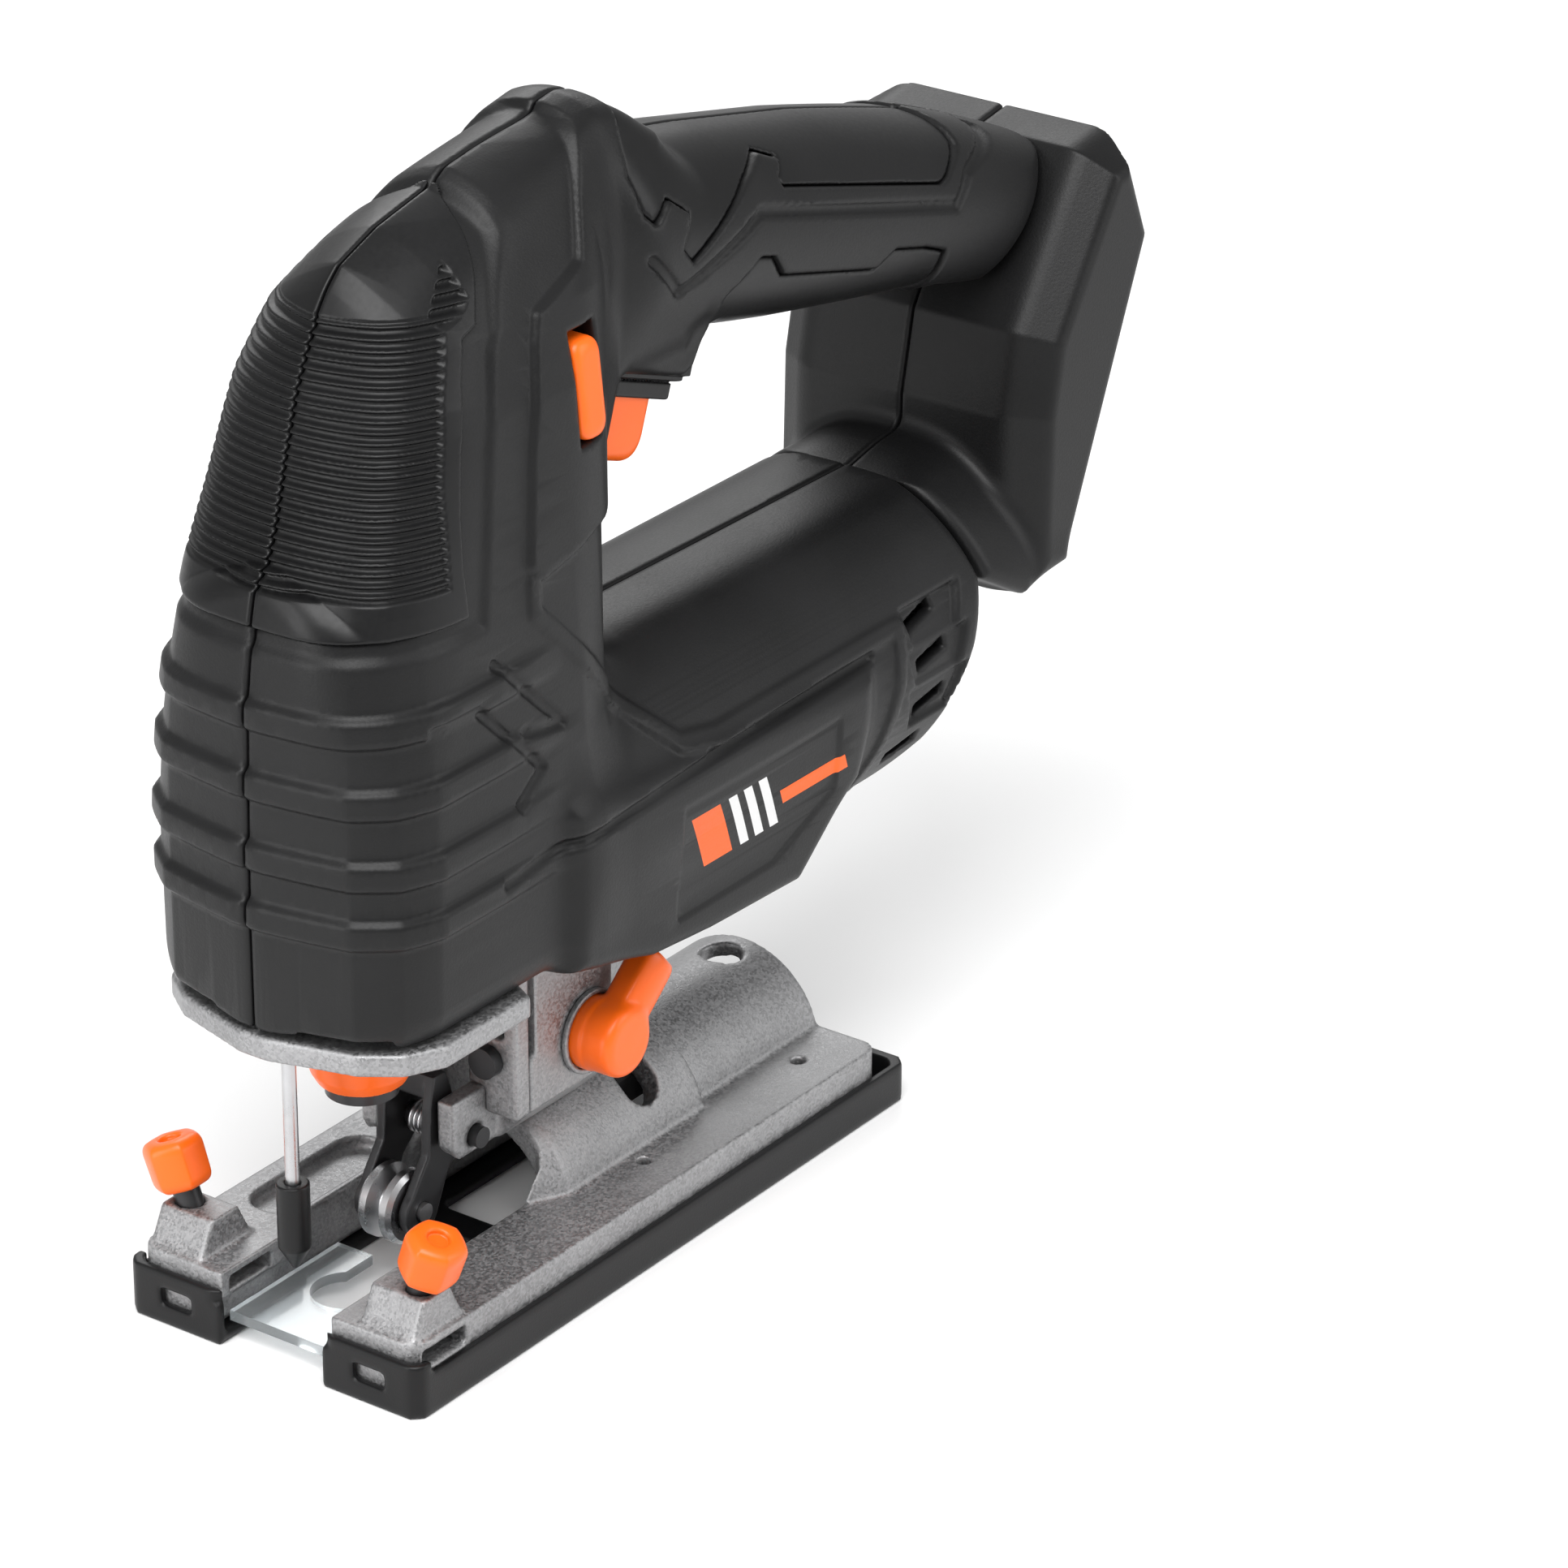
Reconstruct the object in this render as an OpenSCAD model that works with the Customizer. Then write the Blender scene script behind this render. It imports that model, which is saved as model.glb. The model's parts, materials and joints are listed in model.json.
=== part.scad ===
// Cordless jigsaw with a D-handle, standing on its shoe.
// +X runs to the rear, +Z up. The origin is the centre of the sole, on the surface it rests on.

/* [Shoe] */
// Length of the sole
sole_l = 148; // [142:1:160]
// Width of the sole
sole_w = 66.5; // [64:0.5:80]
// Thickness of the plastic under the shoe
sole_t = 2; // [1.5:0.1:3]
// Height of the plastic edge strip
strip_h = 7.8; // [6:0.1:10]
// Height of the cast plate's top face
plate_top = 13.3; // [12:0.1:15]
// Thickness of the cast plate's web
plate_t = 4; // [3:0.1:5]
// Outer radius of the arch where the gear head sits on it
arch_r = 20; // [18:0.1:21]
// Outer radius of the arch behind the gear head
tail_r = 17.7; // [16.5:0.1:18]
// Wall of the arch
arch_wall = 3; // [2.5:0.1:4]
// Height of the bevel axis
bevel_z = 9; // [8:0.1:10]

/* [Drive] */
// Distance of the saw blade's line in front of the sole's centre
blade_back = 47; // [45:0.5:48]
// Stroke of the plunger
stroke = 20; // [16:0.5:20]
// Radius of the plunger
plunger_r = 4.5; // [4:0.1:5]
// Height of the motor shaft
motor_z = 85; // [84:0.5:86]
// Length of the motor can
motor_l = 62; // [50:1:66]
// Radius of the motor can
motor_r = 22; // [18:0.5:22]
// Teeth on the motor pinion
pinion_teeth = 12; // [10:1:14]
// Teeth on the drive gear
gear_teeth = 48; // [44:1:50]
// Tooth size of the gear pair
gear_module = 0.8; // [0.7:0.05:0.85]

/* [Case] */
// Wall of the moulded case
case_wall = 2.6; // [2:0.1:3.2]
// Thickness of the soft grip over the case
grip_t = 1.6; // [1.2:0.1:2]
// Half width of the nose at the gear head
nose_half_w = 31; // [29:0.5:34]
// Radius of the motor barrel
barrel_r = 31; // [29:0.5:32]
// Radius of the handle
handle_r = 19; // [17:0.2:20]
// Half width of the battery dock
dock_half_w = 31; // [28:0.5:34]

/* [Controls] */
// Travel of the trigger
trigger_travel = 6; // [4:0.5:7]
// Width of the trigger
trigger_w = 16; // [12:0.5:18]
// Travel of the safety button
lock_travel = 4; // [3:0.5:4]
// Radius of the orbit lever's hub
orbit_hub_r = 6.7; // [6:0.1:8]
// Radius of the roller that backs the blade
roller_r = 7; // [6:0.1:7.5]

/* [Hidden] */
$fn = 64;

gap = 0.3;          // between bodies that move past each other
seat = 0.1;         // between pieces that are fixed to each other
run_fit = 0.05;     // radial, shaft in bearing
far = 200;          // longer than anything that it cuts

sole_front = -sole_l / 2;
sole_back = sole_l / 2;
plate_side = sole_w / 2 - 1.6;
plate_front = sole_front + 1.8;
plate_back = sole_back - 7;
throat_w = 25;      // blade opening between the two front legs
throat_back = -21;
insert_w = throat_w - 2 * gap;

fence_x = -64;      // line of the fence clamp screws
fence_y = 25.5;
fence_tilt = 20;
fence_slot_l = 11.6;
fence_slot_h = 3.4;
fence_slot_z = 8.2;
screw_r = 2.5;
knob_r = 5.9;
boss_top = 17.5;

blade_x = -blade_back;
stroke_up = 3.5;    // what is left of the stroke above the rest position
crank_r = stroke / 2;
pitch_sum = gear_module * (pinion_teeth + gear_teeth) / 2;
gear_z = motor_z + pitch_sum;
crank_z = gear_z + crank_r - stroke_up;
crank_y = sqrt(crank_r * crank_r - pow(crank_r - stroke_up, 2));
gear_x = -30;
gear_t = 6;
roller_big = 4;     // outer radius of the crank's roller
slot_half = crank_r + roller_big + 0.2;
shaft_r = 3;
can_x = 6;
fan_x = can_x + motor_l + 8;

rim_z = 66.5;       // lower edge of the case round the gear head
rim_t = 4.6;
thick_wall = arch_wall + 2.2;     // of the arch under the gear head
clamp_r = arch_r - thick_wall - gap;
clamp_t = 4;
clamp_low = bevel_z + clamp_r - clamp_t + 0.8;
head_half_w = 18;
head_front = -26;
head_back = 2;
block_low = 33;        // front block of the head
block_top = 61.75;
head_low = plate_top + 2.2;   // lowest line of the head at 45 degrees, per unit width
yoke_x = -28.6;
yoke_z = 29.4;
yoke_pin_r = 2;
ear_w = 10.6;
ear_gap = 6.8;
roller_x = -38.5;
roller_z = 16.8;
roller_w = 7.6;
arm_t = 2;
orbit_x = -5.2;
orbit_z = 43;
lever_turn = 40;
lever_l = 16.8;
orbit_depth = 7.2;   // knob beyond its collar
lever_w = 9.2;
guard_x = -66.5;
guard_r = 1.3;
clamp_z = 43.4;
collar_r = 9.8;

trigger_x = 25;
trigger_z = 158;
trigger_tilt = 20;
lock_x = -11.2;
lock_z = 170;
lock_l = 7.2;
lock_h = 17.8;
nose_wide = nose_half_w / 31;
seam = 0.1;         // each case half stops this far from the middle plane
slot_x = 14.5;      // bolt that holds the shoe to the head
slot_w = 9;
slot_turn = 46;
latch_x = 59.5;
latch_r = 4;
fix_x = [5, 53];
fix_y = 22.6;
fix_r = 1.5;
bush_r = 7.5;
spindle_r = 3;
spindle_big = 4;
bearing_r = 8;
bolt_r = 3;
bolt_head_r = 5;
bolt_head_t = 4;
frame_half_w = 23;  // gearbox frame inside the nose
frame_back = -14;
frame_front = -62;
screw_shaft_r = 1.6;
screw_head_r = 3;
screw_len = 8;      // how far each case screw reaches to both sides of the seam
boss_r = 4.2;
bay_d = 10;
// Case screws, side view positions
SCREWS = [[-68, 84], [-68, 112], [6, 197], [-6, 148], [94, 102], [126, 158], [111, 103.5], [137, 152]];

NOSE = [[-77, 66.5], [-77, 88], [-76, 107], [-74.6, 129], [-72.3, 140.8], [-69.8, 151.5], [-66.3, 158],
  [-63.9, 168.5], [-60.1, 180.6], [-55.1, 190.5], [-51.6, 196.4], [-48.2, 200.2], [-37.7, 203.6], [-24.4, 205.8],
  [-19.6, 208.9], [2.2, 211.1], [10.6, 213.4], [18, 208.5], [26, 202], [30, 181], [30, 163], [14, 163],
  [3, 150], [3, 122], [10, 100], [4, 62], [-24, 66.5]];
NOSE_FRONT = [[-26, 60], [-30, 72], [-31, 96], [-29, 118], [-26, 150], [-24, 172], [-21, 186], [-16, 196],
  [-12.5, 203], [-9, 211], [-5, 214], [5, 214], [9, 211], [12.5, 203], [16, 196], [21, 186], [24, 172], [26, 150],
  [29, 118], [31, 96], [30, 72], [26, 60]];
NOSE_CORNER = [[-66, 60], [-66, 100], [-62.5, 119], [-56, 145], [-51.2, 160], [-46.5, 177], [-40.3, 189],
  [-31, 197.5], [-24, 203.5], [-15, 209], [-8, 214], [200, 214], [200, 60]];
CROWN = [[-100, -300], [-100, 150], [-68, 157], [-60.1, 181], [-55.1, 191], [-51.6, 196.6], [-48.2, 200.4],
  [-37.7, 203.8], [-24.4, 206], [-19.6, 209], [2.2, 211.3], [10.6, 213.6], [60, 213.6], [60, -300]];
crown_tilt = 24;    // the top falls off to both sides of the seam
crown_z = 205;
NOSE_PLAN = [[-77.2, 3], [-72.5, 20], [-67.5, 27], [-60, 31], [-18, 31], [-9, 25.5], [1, 17], [9, 14], [31, 13],
  [31, -13], [9, -14], [1, -17], [-9, -25.5], [-18, -31], [-60, -31], [-67.5, -27], [-72.5, -20], [-77.2, -3]];
RIM_PLAN = [[-90, -40], [-42, -40], [-30, -18], [2, -18], [2, 18], [-30, 18], [-42, 40], [-90, 40]];
HOOD = [[2, 172], [11, 163], [32, 155.4], [35, 156.4], [39.5, 164], [32, 178]];
CHEEK = [[-24, 66.5], [-2, 60], [15, 58.5], [42, 57.5], [60, 72], [62, 86], [-24, 86]];
CHEEK_FRONT = [[-barrel_r, 60.5], [-barrel_r + 3, 57], [barrel_r - 3, 57], [barrel_r, 60.5],
  [barrel_r, 120], [-barrel_r, 120]];
BARREL = [[-20, 62], [0, 59], [24, 56], [48, 54], [74, 55.5], [90, 66], [99, 84], [103, 96], [99, 113.6],
  [-20, 115.5]];
GRIP_CORE = [[12, 208], [26, 202], [45, 200], [80, 193], [112, 181.5], [140.5, 168.4], [124, 143], [112, 147],
  [85, 150], [60, 153], [40, 157], [30, 163], [12, 163]];
DOCK_SLAB = [[140.5, 168.4], [150.5, 170], [159, 149.5], [131.5, 86.5], [116, 88], [117, 122.4], [120.4, 138]];
DOCK_NECK = [[104, 95], [99.5, 112.6], [108, 114.6], [122, 117], [128, 117], [128, 92], [116, 88]];

// Points of a clockwise or anticlockwise outline moved inwards by d
function turn(a, b, c) = (b.x - a.x) * (c.y - b.y) - (b.y - a.y) * (c.x - b.x);
function area2(p) = sum([for (i = [0 : len(p) - 1]) p[i].x * p[(i + 1) % len(p)].y
  - p[(i + 1) % len(p)].x * p[i].y]);
function sum(v, i = 0) = i < len(v) ? v[i] + sum(v, i + 1) : 0;
function unit(v) = v / norm(v);
function inner(a, b, c, d, s) =
  let (u = unit(b - a), v = unit(c - b), n = [-u.y, u.x] * s, m = [-v.y, v.x] * s)
  b + (n + m) * d / (1 + n * m);
function inset(p, d) =
  let (s = sign(area2(p)), n = len(p))
  [for (i = [0 : n - 1]) inner(p[(i + n - 1) % n], p[i], p[(i + 1) % n], d, s)];

// A side outline (x, z) made solid from y0 to y1
module side(points, y0, y1) {
  translate([0, y1, 0]) rotate([90, 0, 0]) linear_extrude(y1 - y0) polygon(points);
}

module along_x(x0, x1, r) {
  translate([x0, 0, 0]) rotate([0, 90, 0]) cylinder(h = x1 - x0, r = r);
}

module along_y(y0, y1, r) {
  translate([0, y1, 0]) rotate([90, 0, 0]) cylinder(h = y1 - y0, r = r);
}

module box(x0, x1, y0, y1, z0, z1) {
  translate([x0, y0, z0]) cube([x1 - x0, y1 - y0, z1 - z0]);
}

module both_sides() {
  children();
  mirror([0, 1, 0]) children();
}

module rounded_box(x0, x1, y0, y1, z0, z1, r) {
  translate([0, 0, z0]) linear_extrude(z1 - z0) rounded_rect(x0, x1, y0, y1, r);
}

module rounded_rect(x0, x1, y0, y1, r) {
  translate([x0 + r, y0]) square([x1 - x0 - 2 * r, y1 - y0]);
  translate([x0, y0 + r]) square([x1 - x0, y1 - y0 - 2 * r]);
  for (x = [x0 + r, x1 - r], y = [y0 + r, y1 - r]) translate([x, y]) circle(r);
}

// ---- Shoe ----

module arch_solid(r, x0, x1) {
  translate([0, 0, bevel_z]) along_x(x0, x1, r);
}

module above_plate() {
  box(-far, far, -far, far, sole_t + gap, far);
}

module fence_axis(side_sign) {
  translate([fence_x, side_sign * fence_y, boss_top]) rotate([side_sign * -fence_tilt, 0, 0]) children();
}

module fence_boss() {
  side([[-71.5, 10], [-71.5, plate_top], [-70, 15], [-67.5, boss_top + 2.5], [-60.5, boss_top + 2.5],
    [-58, 15], [-56.5, plate_top], [-56.5, 10]], -plate_side + 1.5, -18);
}

module shoe() color("silver") {
  difference() {
    union() {
      rounded_box(plate_front, plate_back, -plate_side, plate_side, sole_t + gap, plate_top, 4);
      intersection() {
        union() {
          arch_solid(arch_r, -13, 28);
          arch_solid(tail_r, 28, plate_back);
          translate([-21, 0, bevel_z]) rotate([0, 90, 0]) cylinder(h = 8, r1 = arch_r - 4, r2 = arch_r);
        }
        above_plate();
      }
      both_sides() fence_boss();
    }
    both_sides() underside_pocket();
    arch_solid(arch_r - thick_wall, -30, 28);
    arch_solid(tail_r - arch_wall, 27.9, plate_back + 1);
    box(-far, plate_back + 1, -arch_r + arch_wall + 3, arch_r - arch_wall - 3, 0, bevel_z - 1);
    throat();
    bevel_slot();
    both_sides() fence_cuts();
    pocket_far();
    translate([latch_x, 0, 0]) cylinder(h = far, r = latch_r);
    for (x = fix_x, y = [-fix_y, fix_y]) translate([x, y, 0]) cylinder(h = far, r = fix_r);
  }
}

module underside_pocket() {
  rounded_box(-52, -24, -28.5, -19, 0, plate_top - plate_t - 2.5, 2);
  rounded_box(-20, 22, -28.5, -19.8, 0, plate_top - plate_t, 2);
  rounded_box(26, 62, -28.5, -19.8, 0, plate_top - plate_t, 2);
}

module throat() {
  box(-far, throat_back, -throat_w / 2, throat_w / 2, 0, far);
  rounded_box(-50, throat_back + 6, -15, 15, 0, far, 2);
}

// Slot for the clamp bolt, cut round the arch
module bevel_slot() {
  fan = [[0, 0], for (a = [-slot_turn : 4 : slot_turn]) [sin(a), cos(a)] * 2 * arch_r];
  translate([slot_x - slot_w / 2, 0, bevel_z]) rotate([90, 0, 90]) linear_extrude(slot_w) polygon(fan);
  both_sides() translate([slot_x, 0, bevel_z]) rotate([slot_turn, 0, 0]) cylinder(h = 2 * arch_r, r = slot_w / 2);
}

module fence_cuts() {
  box(fence_x - fence_slot_l / 2, fence_x + fence_slot_l / 2, -far, 0, fence_slot_z,
    fence_slot_z + fence_slot_h);
  fence_axis(-1) translate([0, 0, -10]) cylinder(h = 20, r = screw_r + run_fit);
}

// Long shallow pocket in the far leg
module pocket_far() {
  translate([0, 0, plate_top - 2.5]) linear_extrude(5) {
    rounded_rect(-50, -17.5, 16.5, 27, 5);
  }
}

module sole_cover() color("#202020") {
  difference() {
    union() {
      rounded_box(sole_front, sole_back, -sole_w / 2, sole_w / 2, 0, strip_h, 3);
      both_sides() front_clip();
    }
    rounded_box(plate_front - seat, sole_back - 2, -plate_side - seat, plate_side + seat, sole_t, far, 3);
    box(-far, throat_back - 2, -throat_w / 2 + 1, throat_w / 2 - 1, -1, far);
    rounded_box(-50, throat_back, -13, 13, -1, far, 2);
    box(plate_back + 2, far, -13, 13, -1, far);
    rounded_box(-14, 62, -10, 10, -1, far, 3);
    both_sides() box(-far, plate_front, -25.5, -18.5, 3.6, 7.2);
    both_sides() box(fence_x - fence_slot_l / 2, fence_x + fence_slot_l / 2, -far, -plate_side + 1,
      fence_slot_z, far);
  }
}

module front_clip() {
  rounded_box(sole_front, sole_front + 8, -sole_w / 2, -throat_w / 2 + 1, 0, strip_h + 2.6, 3);
}

module splinter_insert() color([0.85, 0.9, 0.95, 0.4]) {
  translate([0, 0, 3.4]) linear_extrude(2) difference() {
    translate([-70.5, -insert_w / 2]) square([30, insert_w]);
    translate([-53, 0]) circle(6.5);
    translate([-50, -4.2]) square([20, 8.4]);
  }
}

module fence_screw(s) {
  fence_axis(s) translate([0, 0, -6]) cylinder(h = 13, r = screw_r);
}

module fence_screw_left() color("dimgray") fence_screw(-1);
module fence_screw_right() color("dimgray") fence_screw(1);

module fence_knob(s) {
  fence_axis(s) translate([0, 0, 5.2]) difference() {
    union() {
      cylinder(h = 2.4, r1 = 4.6, r2 = knob_r, $fn = 6);
      translate([0, 0, 2.4]) cylinder(h = 5.4, r = knob_r, $fn = 6);
      translate([0, 0, 7.8]) cylinder(h = 1.8, r1 = knob_r, r2 = 4.6, $fn = 6);
    }
    translate([0, 0, -1]) cylinder(h = 3.2, r = screw_r + seat);
  }
}

module fence_knob_left() color("darkorange") fence_knob(-1);
module fence_knob_right() color("darkorange") fence_knob(1);

// ---- Gear head ----

module nose_plan(d) {
  polygon(inset([for (p = NOSE_PLAN) [p.x, p.y * nose_wide]], d));
}

module saddle(clear) {
  arch_solid(arch_r + clear, -60, 40);
}

// Cross-section of the lower head: flat cheeks that clear the plate at full bevel
module head_section(d) {
  w = head_half_w - d;
  polygon([[-w, 62], [-w, head_low + head_half_w], [-8, head_low + 8], [-8, 24], [8, 24], [8, head_low + 8],
    [w, head_low + head_half_w], [w, 62]]);
}

module gear_head() color("silver") {
  difference() {
    union() {
      translate([head_front + 4, 0, 0]) rotate([90, 0, 90]) linear_extrude(head_back - head_front - 4)
        head_section(0);
      translate([0, 0, rim_z - rim_t]) linear_extrude(rim_t - seat) intersection() {
        nose_plan(1.2);
        polygon(RIM_PLAN);
      }
      box(head_back - 4, 20, -8, 8, bevel_z + arch_r - 5, 54);
      gearbox_frame();
      both_sides() ear();
      translate([guard_x, 0, rim_z - rim_t]) cylinder(h = 11, r = guard_r + 2);
    }
    saddle(seat);
    gearbox_space();
    box(-80, head_front + 1, -ear_gap, ear_gap, 0, 46);
    box(-40, -21, -ear_gap, ear_gap, 0, 46);
    translate([blade_x, 0, 0]) cylinder(h = 70, r = collar_r + 1.4);
    translate([blade_x, 0, 0]) cylinder(h = 180, r = bush_r + seat);
    translate([guard_x, 0, 0]) cylinder(h = 72 + seat, r = guard_r + seat);
    translate([yoke_x, 0, yoke_z]) along_y(-20, 20, yoke_pin_r + seat);
    translate([orbit_x, 0, orbit_z]) along_y(-40, 0, spindle_r + run_fit);
    translate([orbit_x, 0, orbit_z]) along_y(-14, 2, 6);
    translate([0, 0, gear_z]) along_x(-24, -10, spindle_big + seat);
    translate([0, 0, motor_z]) along_x(-24, -10, bearing_r + seat);
    translate([slot_x, 0, 0]) cylinder(h = 40 + 2 * seat, r = bolt_r + seat);
    window();
  }
}

// Walls that carry the gear pair and the bushes, open to the front
module gearbox_frame() {
  box(frame_front, frame_back, -frame_half_w, frame_half_w, rim_z - seat, 124);
  box(frame_front, frame_back, -slot_half - 5, slot_half + 5, 124 - seat, 136);
}

module gearbox_space() {
  box(frame_front + 4, frame_back - 4, -frame_half_w + 2.4, frame_half_w - 2.4, 78, 121.6);
  box(frame_front + 4, frame_back - 4, -slot_half - 2.6, slot_half + 2.6, 120, 132);
  box(frame_front - 9, frame_back - 4, -frame_half_w + 2.4, frame_half_w - 2.4, 90, 118);
}

module ear() {
  side([[-35, 38], [-35, 29], [-33, 25.4], [-28.6, 23.6], [-22.5, 25.5], [-20.5, 29.4], [-20.5, 38]],
    -ear_w, -ear_gap);
}

module window() {
  box(-80, head_front + 5.5, -far, -8, 44, rim_z - rim_t + 0.2);
}

module gear_head_front() color("silver") {
  difference() {
    union() {
      translate([head_front, 0, 0]) rotate([90, 0, 90]) linear_extrude(4 - seat) intersection() {
        head_section(0);
        translate([-30, block_low]) square([60, block_top - block_low]);
      }
    }
    box(-80, 0, -ear_gap - seat, ear_gap + seat, 0, 50);
    box(-80, 0, -ear_w - seat, ear_w + seat, 0, 38 + seat);
    translate([blade_x, 0, 0]) cylinder(h = 70, r = collar_r + 6.2);
    both_sides() box(-80, 0, -15, -9, 48.5, 60);
    both_sides() translate([0, -12, 44]) along_x(-40, 0, 1.6 + seat);
  }
}

module front_block_screws() color("#303030") {
  both_sides() translate([0, -12, 44]) {
    along_x(head_front - 2.4, head_front - seat, 3);
  }
}

module bevel_clamp() color("#4a4a4c") {
  difference() {
    intersection() {
      arch_solid(clamp_r, -8, 26);
      box(-8, 26, -9, 9, bevel_z + 6, far);
    }
    arch_solid(clamp_r - clamp_t, -10, 28);
    translate([slot_x, 0, 0]) cylinder(h = 60, r = bolt_r + seat);
    translate([slot_x, 0, 0]) cylinder(h = clamp_low + seat, r = bolt_head_r + gap);
  }
}

module bevel_bolt() color("#303030") {
  translate([slot_x, 0, clamp_low - bolt_head_t + seat]) {
    cylinder(h = bolt_head_t - seat, r = bolt_head_r);
    cylinder(h = 40 - clamp_low, r = bolt_r);
  }
}

module guard_rod() color("gainsboro") {
  translate([guard_x, 0, 31]) cylinder(h = 41, r = guard_r);
}

module guard_tip() color("#202020") {
  difference() {
    translate([guard_x, 0, 16.4]) {
      cylinder(h = 4.4, r1 = 0.5, r2 = 3);
      translate([0, 0, 4.4]) cylinder(h = 12.6, r = 3);
    }
    translate([guard_x, 0, 31 - seat]) cylinder(h = 10, r = guard_r + run_fit);
  }
}

module yoke_arm_outline() {
  circle_at(roller_x, roller_z, 4.6);
  circle_at(yoke_x, yoke_z, 4);
  polygon([[-42.6, 18.6], [-36.5, 27], [-35.8, 36], [-34.5, 42], [-31, 42], [-29, 36], [-25, 30.6],
    [-25.4, 27], [-31, 22], [-34.2, 15.2]]);
}

module circle_at(x, y, r) {
  translate([x, y]) circle(r);
}

module roller_yoke() color("#1c1c1c") {
  difference() {
    union() {
      both_sides() translate([0, -roller_w / 2 - gap, 0]) rotate([90, 0, 0]) linear_extrude(arm_t)
        yoke_arm_outline();
      box(-34.6, -31.4, -roller_w / 2 - gap, roller_w / 2 + gap, 37, 42);
    }
    translate([yoke_x, 0, yoke_z]) along_y(-20, 20, yoke_pin_r + run_fit);
    translate([roller_x, 0, roller_z]) along_y(-20, 20, 1.8);
  }
}

module yoke_pin() color("#2a2a2a") {
  translate([yoke_x, 0, yoke_z]) along_y(-ear_w - 1.6, ear_w + 1, yoke_pin_r);
}

module yoke_spring() color("#8a8a8a") {
  translate([yoke_x, 0, yoke_z]) difference() {
    along_y(-3.4, 3.4, 3.2);
    along_y(-4, 4, yoke_pin_r + gap);
  }
}

module guide_roller() color("gray") {
  translate([roller_x, -roller_w / 2, roller_z]) rotate([-90, 0, 0]) rotate_extrude()
    polygon([[1.85, 0], [roller_r - 0.8, 0], [roller_r, 0.8], [roller_r, 2.2], [roller_r - 2.6, 3.3],
      [roller_r - 2.6, roller_w - 3.3], [roller_r, roller_w - 2.2], [roller_r, roller_w - 0.8],
      [roller_r - 0.8, roller_w], [1.85, roller_w]]);
}

module roller_pin() color("#5a5a5a") {
  translate([roller_x, 0, roller_z]) along_y(-roller_w / 2 - gap - arm_t - 0.8,
    roller_w / 2 + gap + arm_t + 0.8, 1.8);
}

module orbit_ring() color("silver") {
  translate([orbit_x, 0, orbit_z]) difference() {
    along_y(-head_half_w - 1.2, -head_half_w - seat, orbit_hub_r + 1.4);
    along_y(-head_half_w - 3, -head_half_w + 1, orbit_hub_r + 0.4);
  }
}

module orbit_knob() color("darkorange") {
  translate([orbit_x, 0, orbit_z]) difference() {
    union() {
      along_y(-head_half_w - 3, -head_half_w - gap, orbit_hub_r - 0.3);
      translate([0, -head_half_w - 2.5, 0]) rotate([90, 0, 0]) linear_extrude(orbit_depth) {
        circle(orbit_hub_r);
        rotate(lever_turn) translate([0, -lever_w / 2]) square([lever_l, lever_w]);
      }
    }
    along_y(-head_half_w - orbit_depth, 0, spindle_r + seat);
  }
}

module orbit_spindle() color("#8c8c8e") {
  translate([orbit_x, 0, orbit_z]) {
    along_y(-head_half_w - orbit_depth + gap, -13.6, spindle_r);
    difference() {
      along_y(-13.6, -3, 5);
      box(-10, 10, -12, 0, 1.5, 10);
    }
  }
}

// ---- Drive ----

module plunger() color("#9a9a9c") {
  translate([blade_x, 0, 0]) {
    translate([0, 0, 58]) cylinder(h = 96, r = plunger_r);
    difference() {
      box(plunger_r - 1.5, plunger_r + 2.5, -slot_half - 2.2, slot_half + 2.2, crank_z - 8, crank_z + 8);
      box(-10, 20, -slot_half, slot_half, crank_z - roller_big - run_fit, crank_z + roller_big + run_fit);
    }
  }
}

module bush(z0, z1) {
  translate([blade_x, 0, z0]) difference() {
    cylinder(h = z1 - z0, r = bush_r);
    translate([0, 0, -1]) cylinder(h = z1 - z0 + 2, r = plunger_r + run_fit);
  }
}

module lower_bush() color("#b08a50") bush(70.5, 78);
module upper_bush() color("#b08a50") bush(132, 136);

module blade_holder() color("#2c2c2e") {
  translate([blade_x, 0, clamp_z]) difference() {
    union() {
      cylinder(h = 2.2, r = 6.6);
      translate([0, 0, 2.2]) cylinder(h = 12.4 - seat, r = 4.6);
    }
    box(-4.2, 4.2, -0.9, 0.9, -1, 12);
  }
}

module clamp_collar() color("darkorange") {
  translate([blade_x, 0, clamp_z + 2.2 + gap]) rotate_extrude()
    polygon([[4.6 + run_fit, 0], [8, 0], [9.2, 2.2], [collar_r, 6], [collar_r, 10], [9.2, 11.2],
      [6.8, 11.2], [6.8, 5], [4.6 + run_fit, 5]]);
}

module clamp_spring() color("#a0a0a2") {
  translate([blade_x, 0, clamp_z + 8]) difference() {
    cylinder(h = 6, r = 6.5);
    translate([0, 0, -1]) cylinder(h = 8, r = 4.9);
  }
}

// Outline of an involute gear, centred, with a tooth on +X when phase is 0
function involute(rb, t) = [rb * (cos(t) + t * PI / 180 * sin(t)), rb * (sin(t) - t * PI / 180 * cos(t))];
function polar_angle(p) = atan2(p.y, p.x);
function flank(rb, r0, r1, n) = [for (i = [0 : n])
  let (r = max(rb, r0) + (r1 - max(rb, r0)) * i / n, t = sqrt(pow(r / rb, 2) - 1) * 180 / PI) involute(rb, t)];
function spin(p, a) = [p.x * cos(a) - p.y * sin(a), p.x * sin(a) + p.y * cos(a)];
function flip(p) = [p.x, -p.y];

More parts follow.
